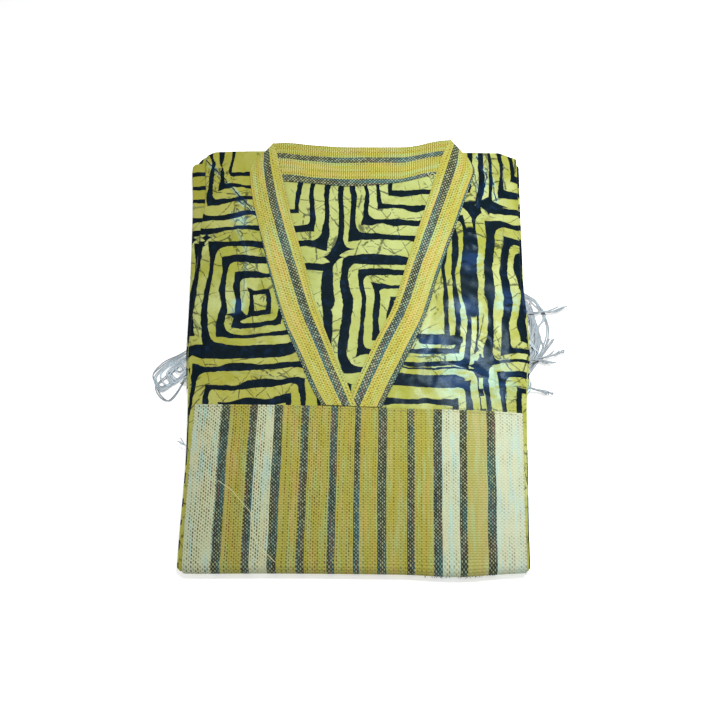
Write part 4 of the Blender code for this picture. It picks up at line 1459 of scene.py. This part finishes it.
# The strips that hold the threads, and the heights of the threads in them and lying, by level
SIDES = {"left": (-1, under_left), "right": (1, under_right)}
STRIP_WIDTH = 1.8 * MM
EDGE_GAP = 0.3 * MM
STRIPS_Y = {"left": (-41 * MM, -3 * MM), "right": (-52 * MM, 57 * MM)}
STRIP_HEIGHTS = (4.6, 5.6, 6.6, 7.6, 8.6)
STRIP_POINTS = 40
ROOT_HEIGHTS = (4.9 * MM, 6.1 * MM, 7.3 * MM, 8.5 * MM)
LYING_HEIGHTS = (0.9 * MM, 2.1 * MM, 3.3 * MM, 4.5 * MM)
LEAST_HEIGHT = 0.45 * MM
THREAD_FALL = 14 * MM
# Loops in the same order as the part, in mm: level, y of both roots, how far out the loop's middle
# lies and its y, its half sizes out and along, and its strands
LOOPS = {
    "left": (
        (0, -7, -31, 29.4, -33.7, 9.1, 11.6, 2),
        (1, -9, -30, 27.2, -36.8, 7.6, 11.6, 3),
        (0, -10, -32, 21.3, -46.2, 12.7, 14.0, 2),
        (1, -12, -31, 22.2, -35.7, 8.0, 10.0, 3),
        (2, -13, -30, 16.3, -33.7, 7.0, 8.5, 4),
        (2, -15, -29, 13.4, -31.6, 5.6, 6.4, 3),
        (3, -17, -28, 9.6, -28.4, 4.0, 3.7, 2),
        (3, -19, -28, 3.8, -24.2, 2.5, 4.3, 2),
        (3, -35, -40, 2.0, -38.4, 2.4, 2.7, 2),
    ),
    "right": (
        (0, 55, -37, 13.0, 15.5, 10.0, 31.5, 2),
        (0, 53, -27, 12.0, 30.0, 9.0, 15.0, 3),
        (0, 34, -30, 9.0, -4.0, 7.5, 15.0, 2),
        (1, 46, -18, 8.0, 6.0, 6.4, 19.0, 3),
        (1, 30, 18, 7.5, 36.5, 3.0, 6.0, 1),
        (2, 46, -12, 3.8, 22.0, 4.6, 19.0, 5),
        (2, 38, -20, 6.2, 10.0, 4.8, 22.0, 5),
        (3, 2, -26, 5.0, -12.0, 5.5, 8.0, 4),
        (3, -34, -54, 1.2, -45.0, 1.6, 6.0, 2),
    ),
}
# Loose ends, in mm: level, y of the root, reach, rise, sway, and size of a knot
ENDS = {
    "left": ((3, -38, 9, -5, 1, 0.0),),
    "right": (
        (3, 30, 45, 9, 2, 0.0),
        (3, -24, 28, 28, 0, 0.0),
        (3, -20, 35, 11, 1, 1.2),
        (3, -18, 29, -3, 1, 0.0),
        (3, -48, 25, -6, -1, 0.8),
    ),
}
FRINGE_SEEDS = {"left": 77, "right": 78}
STRAND_RADIUS = {"left": 0.62 * MM, "right": 0.82 * MM}
STRAND_SPACING = 1.1
LOOP_STEPS = 49
END_STEPS = 41
KNOT_STEPS = 26
END_STRANDS = 3
# Loops up to this level get the outer strands' painted shade
SHADED_LEVEL = {"left": 0, "right": 2}
NEARLY_UPRIGHT = 1e-4


def strip_outer(y, side):
    sign, edge = SIDES[side]
    return float(edge(y)) + sign * (EDGE_GAP + STRIP_WIDTH - PILE_INSET)


def thread_point(level, out, y, side, rise):
    """Point of a thread this far out from its strip's middle, as it falls to where it lies."""
    low, high = STRIPS_Y[side]
    root = strip_outer(min(max(y, low), high), side)
    height = mix(ROOT_HEIGHTS[level], LYING_HEIGHTS[level], float(ease(out / THREAD_FALL)))
    x = root + SIDES[side][0] * (out - STRIP_WIDTH / 2)
    return Vector((x, y, max(height + rise, LEAST_HEIGHT)))


def tube_points(points, radius, sides):
    """Rings of a tube along smooth points."""
    rings = []
    for i, point in enumerate(points):
        ahead = points[min(i + 1, len(points) - 1)] - points[max(i - 1, 0)]
        ahead.normalize()
        side = ahead.cross(Vector((0, 0, 1)))
        if side.length < NEARLY_UPRIGHT:
            side = Vector((1, 0, 0))
        side.normalize()
        over = side.cross(ahead)
        angles = [2 * math.pi * k / sides for k in range(sides)]
        rings.append([point + radius * (side * math.cos(a) + over * math.sin(a)) for a in angles])
    return rings


def build_tubes(name, paths, radius, material, sides=6, outer=0, nodes=()):
    """One piece of many strands. Its UV's whole part tells them apart, negative for the last `outer`."""
    points, faces, uv = [], [], []
    for number, path in enumerate(paths):
        start = len(points)
        walked = 0.0
        sign = -1 if number >= len(paths) - outer else 1
        rings = tube_points(path, radius, sides)
        for i, ring in enumerate(rings):
            if i:
                walked += (path[i] - path[i - 1]).length
            points += ring
            uv += [(sign * (number + 0.5 + 0.4 * k / sides) * MM, walked) for k in range(sides)]
        faces += ring_faces(start, sides, len(rings))
        last = start + (len(rings) - 1) * sides
        faces.append(tuple(start + k for k in reversed(range(sides))))
        faces.append(tuple(last + k for k in range(sides)))
    finish_piece(add_mesh(name, points, faces, uv), material, "thread", *nodes)


def loop_path(side, row, strand, draw):
    """A loop from the strip, round its far end and back. Its strands lie beside each other."""
    level, root_high, root_low, far, y, half_out, half_y, strands = row
    spread = (strand - (strands - 1) / 2) * STRAND_SPACING + draw.uniform(-0.3, 0.3)
    half_out, half_y = half_out + spread, half_y + 0.8 * spread
    far, y = far + draw.uniform(-1.2, 1.2), y + draw.uniform(-1.6, 1.6)
    root_high, root_low = root_high + draw.uniform(-2.4, 1.2), root_low + draw.uniform(-1.5, 2.4)
    outs = (0.0, far, far + half_out, far, 0.0)
    ys = (root_high + spread, y + half_y, y, y - half_y, root_low - 0.4 * spread)
    read_out, read_y = smooth_curve(range(5), outs), smooth_curve(range(5), ys)
    wave, rise = draw.uniform(0, 2 * math.pi), draw.uniform(-0.2, 0.35) * MM
    path = []
    for place in np.linspace(0, 4, LOOP_STEPS):
        shake = 0.35 * math.sin(2.3 * place + wave) * math.sin(math.pi * place / 4)
        out, along = float(read_out(place)), float(read_y(place))
        path.append(thread_point(level, (out + shake) * MM, (along + shake) * MM, side, rise))
    return path


def end_path(side, row, strand, draw):
    """A loose end, which may finish in a small knot."""
    level, root_y, reach, rise_y, sway, knot = row
    reach = reach * (1 - 0.12 * strand * draw.uniform(0.3, 1.0))
    path = []
    for t in np.linspace(0, 1, END_STEPS):
        y = root_y + rise_y * t**1.5 + sway * math.sin(2 * math.pi * t) * t
        twist = 0.3 * reach * t + strand * 2 * math.pi / END_STRANDS
        lift = 0.55 * MM * (1 + math.sin(twist))
        path.append(thread_point(level, reach * t * MM, (y + 0.6 * math.cos(twist)) * MM, side, lift))
    if knot and not strand:
        end = path[-1]
        for t in np.linspace(0, 4 * math.pi, KNOT_STEPS)[1:]:
            turn = Vector((1 - math.cos(t), math.sin(t), 0.25 * math.sin(0.5 * t) + 0.2))
            path.append(end + turn * knot * MM)
    return path


def build_fringe(side, material):
    """A fringe: its loops and loose ends, and the lines of thread along its strip."""
    draw = random.Random(FRINGE_SEEDS[side])
    loops = [(row, loop_path(side, row, strand, draw)) for row in LOOPS[side] for strand in range(row[-1])]
    outer = [path for row, path in loops if row[0] <= SHADED_LEVEL[side]]
    outer += [end_path(side, row, strand, draw) for row in ENDS[side] for strand in range(END_STRANDS)]
    paths = [path for row, path in loops if row[0] > SHADED_LEVEL[side]]
    inward = -SIDES[side][0] * STRIP_WIDTH / 2
    for z in STRIP_HEIGHTS:
        run = np.linspace(*STRIPS_Y[side], STRIP_POINTS)
        paths.append([Vector((strip_outer(y, side) + inward, y, z * MM)) for y in run])
    radius, nodes = STRAND_RADIUS[side], (f"fringe_{side}",)
    build_tubes(f"fringe_{side}_threads", paths + outer, radius, material, outer=len(outer), nodes=nodes)


def panel_face(x, y):
    """Height of the panel's upper face away from its edges."""
    return cover_top(x, y) + LIFT_TRIM + creases(x, y, "panel") + waves(x, y, "panel")


def band_face(x, y):
    """Height that the snag lies at on the back neckband."""
    return cover_top(x, y) + LIFT_BACK_BAND + SNAG_LIFT


def lying_path(points, face, radius):
    """A thread that lies on a face and follows these points, in mm."""
    places = range(len(points))
    read_x = smooth_curve(places, [p[0] * MM for p in points])
    read_y = smooth_curve(places, [p[1] * MM for p in points])
    at = np.linspace(0, len(points) - 1, 10 * len(points))
    x, y = read_x(at), read_y(at)
    return [Vector(p) for p in zip(x, y, face(x, y) + radius)]


# A long loose thread on the panel, a dark knot on it, and a snag on the back neckband, in mm
LONG_THREAD = (
    (-136, -143), (-122, -153), (-110, -166), (-103, -174), (-101, -183),
    (-99.5, -194), (-93, -206), (-85, -213), (-78.5, -219),
)
DARK_KNOT = ((72.4, -156), (73.4, -160), (72, -164), (71.5, -168), (70.4, -171))
SNAG = ((66, 186), (68.5, 181.5), (71.5, 184.5), (74, 183), (75.5, 179.5))
SNAG_LIFT = 0.4 * MM
STRAY_RADIUS = 0.3 * MM
# A dark thread under the bottom fold, partly the dark cloth that peeks out there and partly painted shade
# under the fold: its y where the fold is straight, its height, and its places, in mm
UNDER_EDGE_Y = -227.6 * MM
UNDER_EDGE_HEIGHT = 3 * MM
UNDER_EDGE_PLACES = range(60, 119, 2)
# Short frayed ends under the bottom fold: how many, where, how high, how far out, and how long
FRAYED_SEED = 5
FRAYED_STEPS = 7
FRAYED_COUNT = 26
FRAYED_X = (62 * MM, 128 * MM)
FRAYED_HEIGHT = (7, 12)
FRAYED_OUT = 8.2 * MM
FRAYED_LENGTH = 3.4 * MM
FRAYED_RADIUS = 0.3 * MM
# A tuft of thread ends at the left side: its root, how many, and how far they reach out and up
TUFT = (-171.5 * MM, -107.5 * MM, 9 * MM)
TUFT_COUNT = 9
TUFT_STEPS = 9
TUFT_REACH = (-8.5 * MM, 6.5 * MM)


def build_strays():
    """The loose thread, the snag, and the dark knot with the dark thread under the fold, which is partly
    painted shade.
    """
    cream = threads("cream_thread", STRAY_CREAM, STRAY_CREAM)
    loose = lying_path(LONG_THREAD, panel_face, STRAY_RADIUS)
    build_tubes("loose_thread", [loose], STRAY_RADIUS, cream)
    snag = lying_path(SNAG, band_face, STRAY_RADIUS)
    build_tubes("snag_thread", [snag], STRAY_RADIUS, cream)
    dark = threads("dark_thread", STRAY_DARK, STRAY_DARK)
    knot = lying_path(DARK_KNOT, panel_face, 2 * STRAY_RADIUS)
    # Dark thread under the bottom fold, partly painted shade
    under = []
    for x in UNDER_EDGE_PLACES:
        under.append(Vector((x * MM, UNDER_EDGE_Y - fold_bulge(x * MM), UNDER_EDGE_HEIGHT)))
    build_tubes("dark_knot_and_shade_thread", [knot, under], 2 * STRAY_RADIUS, dark)


def build_frayed(material):
    """Short thread ends under the bottom fold, and a tuft at the left side."""
    draw = random.Random(FRAYED_SEED)
    paths = []
    for _ in range(FRAYED_COUNT):
        x = draw.uniform(*FRAYED_X)
        z = draw.uniform(*FRAYED_HEIGHT) * MM
        lean, reach = draw.uniform(-1, 1), draw.uniform(0.5, 1.0) * FRAYED_LENGTH
        root = Vector((x, FOLD_Y - FRAYED_OUT - fold_bulge(x), z))
        path = []
        for t in np.linspace(0, 1, FRAYED_STEPS):
            path.append(root + Vector((lean * reach * t, -reach * t * (1 - 0.4 * t), -0.5 * reach * t * t)))
        paths.append(path)
    root = Vector(TUFT)
    for _ in range(TUFT_COUNT):
        turn, share = draw.uniform(-0.35, 0.35), draw.uniform(0.5, 1.0)
        path = []
        for t in np.linspace(0, 1, TUFT_STEPS):
            out, up = TUFT_REACH[0] * share * t, TUFT_REACH[1] * share * t**1.3
            path.append(root + Vector((out - turn * up, up + turn * out, -0.5 * MM * t)))
        paths.append(path)
    build_tubes("frayed_ends", paths, FRAYED_RADIUS, material, sides=4)


# Sewing: stitch length, the gap between stitches, thread size, and how a stitch dips at its ends
STITCH = 2.2 * MM
STITCH_GAP = 1.0 * MM
STITCH_RADIUS = 0.2 * MM
STITCH_DIPS = (0.8, 0.1, -0.3, 0.1, 0.8)
# Where the bands are sewn: share of the width from each edge, and rows where it starts and stops
SEWN_SHARE = 0.06
SEWN_FROM = 1.0
SEWN_SHORT = 1.6
# Where the panel's top is sewn, and how high the stitches lie on their cloth
SEWN_INSET = 2.2 * MM
PANEL_SEWN_X = (-160 * MM, 155 * MM)
TRIM_STITCH_LIFT = LIFT_TRIM + 0.15 * MM
FRONT_STITCH_LIFT = LIFT_FRONT + 0.1 * MM
# The seam that shows beside the panel's top: x and y of both ends
SEAM_X = (84 * MM, 159 * MM)
SEAM_Y = (-72.2 * MM, -74.3 * MM)
# Points along each sewn line
BAND_SEWN_POINTS = 200
PANEL_SEWN_POINTS = 160
SEAM_POINTS = 60


def stitch_paths(x, y, lift):
    """Short stitches, one after another, along a line of places on cloth at this lift."""
    xyz = np.stack([x, y, cover_top(x, y) + lift], axis=-1)
    walked = np.concatenate([[0], np.cumsum(np.linalg.norm(np.diff(xyz, axis=0), axis=1))])
    dip = STITCH_RADIUS * np.array(STITCH_DIPS)
    paths = []
    for start in np.arange(0, walked[-1] - STITCH, STITCH + STITCH_GAP):
        at = start + STITCH * np.linspace(0, 1, len(STITCH_DIPS))
        x, y, z = (np.interp(at, walked, xyz[:, k]) for k in range(3))
        paths.append([Vector(p) for p in zip(x, y, z - dip)])
    return paths


def build_sewing():
    """Rows of stitches by the edges of the bands and along the panel's top."""
    paths = []
    for rows in (BAND_LEFT, BAND_RIGHT):
        place = np.linspace(SEWN_FROM, len(rows) - SEWN_SHORT, BAND_SEWN_POINTS)
        for share in (SEWN_SHARE, 1 - SEWN_SHARE):
            paths += stitch_paths(*band_reader(rows)(place, share), TRIM_STITCH_LIFT)
    x = np.linspace(*PANEL_SEWN_X, PANEL_SEWN_POINTS)
    paths += stitch_paths(x, panel_top(x) - SEWN_INSET, TRIM_STITCH_LIFT)
    gold = threads("gold_thread", GOLD, GROOVE_SHADE)
    build_tubes("band_stitches", paths, STITCH_RADIUS, gold, sides=4)
    x = np.linspace(*SEAM_X, SEAM_POINTS)
    seam = stitch_paths(x, np.interp(x, SEAM_X, SEAM_Y), FRONT_STITCH_LIFT)
    build_tubes("seam_stitches", seam, STITCH_RADIUS, threads("seam_thread", BROWN, SOOT), sides=4)


# The floor glows a little, like a light table, to stay white beside the dress
FLOOR_GLOW = 0.5
FLOOR_HALF = 3.0


def build_floor():
    mesh = bpy.data.meshes.new("floor")
    ways = ((-1, -1), (1, -1), (1, 1), (-1, 1))
    mesh.from_pydata([(x * FLOOR_HALF, y * FLOOR_HALF, 0) for x, y in ways], [], [(0, 1, 2, 3)])
    n = Nodes("floor_paper")
    n.surface({
        "Base Color": FLOOR,
        "Emission Color": FLOOR,
        "Emission Strength": FLOOR_GLOW,
        "Roughness": 0.9,
    })
    mesh.materials.append(n.material)
    add_object("floor", mesh)


# The camera: it looks at this point from this far, tilted from straight down
LOOK_AT = Vector((47.5 * MM, -21.5 * MM, 20 * MM))
CAMERA_DISTANCE = 0.87
CAMERA_TILT = math.radians(16.6)
CAMERA_LENS = 43.7
PHOTO_SIDE = 720
CAMERA_SHIFT_X = -49.8 / PHOTO_SIDE
CAMERA_SHIFT_Y = -1.45 / PHOTO_SIDE


def build_camera():
    data = bpy.data.cameras.new("camera")
    data.lens = CAMERA_LENS
    data.sensor_width = 36.0
    data.shift_x = CAMERA_SHIFT_X
    data.shift_y = CAMERA_SHIFT_Y
    camera = add_object("camera", data)
    back = Vector((0.0, -math.sin(CAMERA_TILT), math.cos(CAMERA_TILT)))
    camera.location = LOOK_AT + back * CAMERA_DISTANCE
    camera.rotation_euler = (CAMERA_TILT, 0.0, 0.0)
    bpy.context.scene.camera = camera


# Lights: place, the point they face, size, power and colour.
# The glint is seen only in the glaze of the print, which reflects it at the lower right.
KEY_PLACE = (0.24, 0.28, 1.12)
KEY_TARGET = (0.16, 0.02, 0.0)
KEY_SPREAD = math.radians(70.0)
LIGHTS = {
    "key": (KEY_PLACE, KEY_TARGET, (0.26, 0.26), 2.55, (0.95, 0.99, 1.0)),
    "glint": (KEY_PLACE, KEY_TARGET, (0.3, 0.16), 2.6, (0.6, 0.84, 1.0)),
    "fill": ((-0.4, 0.45, 1.3), (-0.05, 0.05, 0.0), (0.8, 0.8), 1.55, (0.97, 0.98, 1.0)),
}
WORLD_STRENGTH = 0.43


def area_light(name):
    place, target, size, power, colour = LIGHTS[name]
    data = bpy.data.lights.new(name, "AREA")
    data.shape = "RECTANGLE"
    data.size, data.size_y = size
    data.energy = power
    data.color = colour
    light = add_object(name, data)
    light.location = place
    light.rotation_euler = (Vector(target) - Vector(place)).to_track_quat("-Z", "Y").to_euler()
    return light


def build_lights():
    world = bpy.data.worlds.new("studio")
    world.use_nodes = True
    world.node_tree.nodes["Background"].inputs["Color"].default_value = (1.0, 1.0, 1.0, 1.0)
    world.node_tree.nodes["Background"].inputs["Strength"].default_value = WORLD_STRENGTH
    bpy.context.scene.world = world
    key = area_light("key")
    key.data.spread = KEY_SPREAD
    key.visible_glossy = False
    glint = area_light("glint")
    glint.data.spread = KEY_SPREAD
    glint.visible_diffuse = False
    area_light("fill")
    bpy.context.scene.view_settings.view_transform = "Standard"


def main():
    for old in list(bpy.data.objects):
        bpy.data.objects.remove(old, do_unlink=True)
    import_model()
    build_camera()
    front = printed("front_print", FRONT_CHART, seed=1.0)
    back = printed("back_print", BACK_CHART, seed=51.0, pale=0.35)
    build_pile(front)
    build_sleeve("sleeve_left", under_left, -SLEEVE_INNER_X, front)
    build_sleeve("sleeve_right", under_right, SLEEVE_INNER_X, front)
    build_back(back)
    build_yoke("front_yoke_left", "left", front_left, inner_left, seam_left, front)
    build_yoke("front_yoke_right", "right", front_right, inner_right, seam_right, front)
    build_skirt_front(front)
    build_panel(striped("panel_weave", PANEL_STRIPES, 3.0, light=0.96, stitch_strength=(1.45, 0.85)))
    band = striped("band_weave", BAND_STRIPES, 5.0, light=1.24)
    build_band("neckband_left", BAND_LEFT, (-2.0, 2.5), band)
    build_band("neckband_right", BAND_RIGHT, (0.2, 3.5), band)
    build_back_band(striped("back_band_weave", BACK_BAND_STRIPES, 8.0, rib=0.7, light=1.24))
    thread = threads("white_thread", THREAD_PALE, THREAD_SHADE)
    build_fringe("left", thread)
    build_fringe("right", thread)
    build_strays()
    build_frayed(thread)
    build_sewing()
    build_floor()
    build_lights()
    bpy.context.view_layer.update()


main()
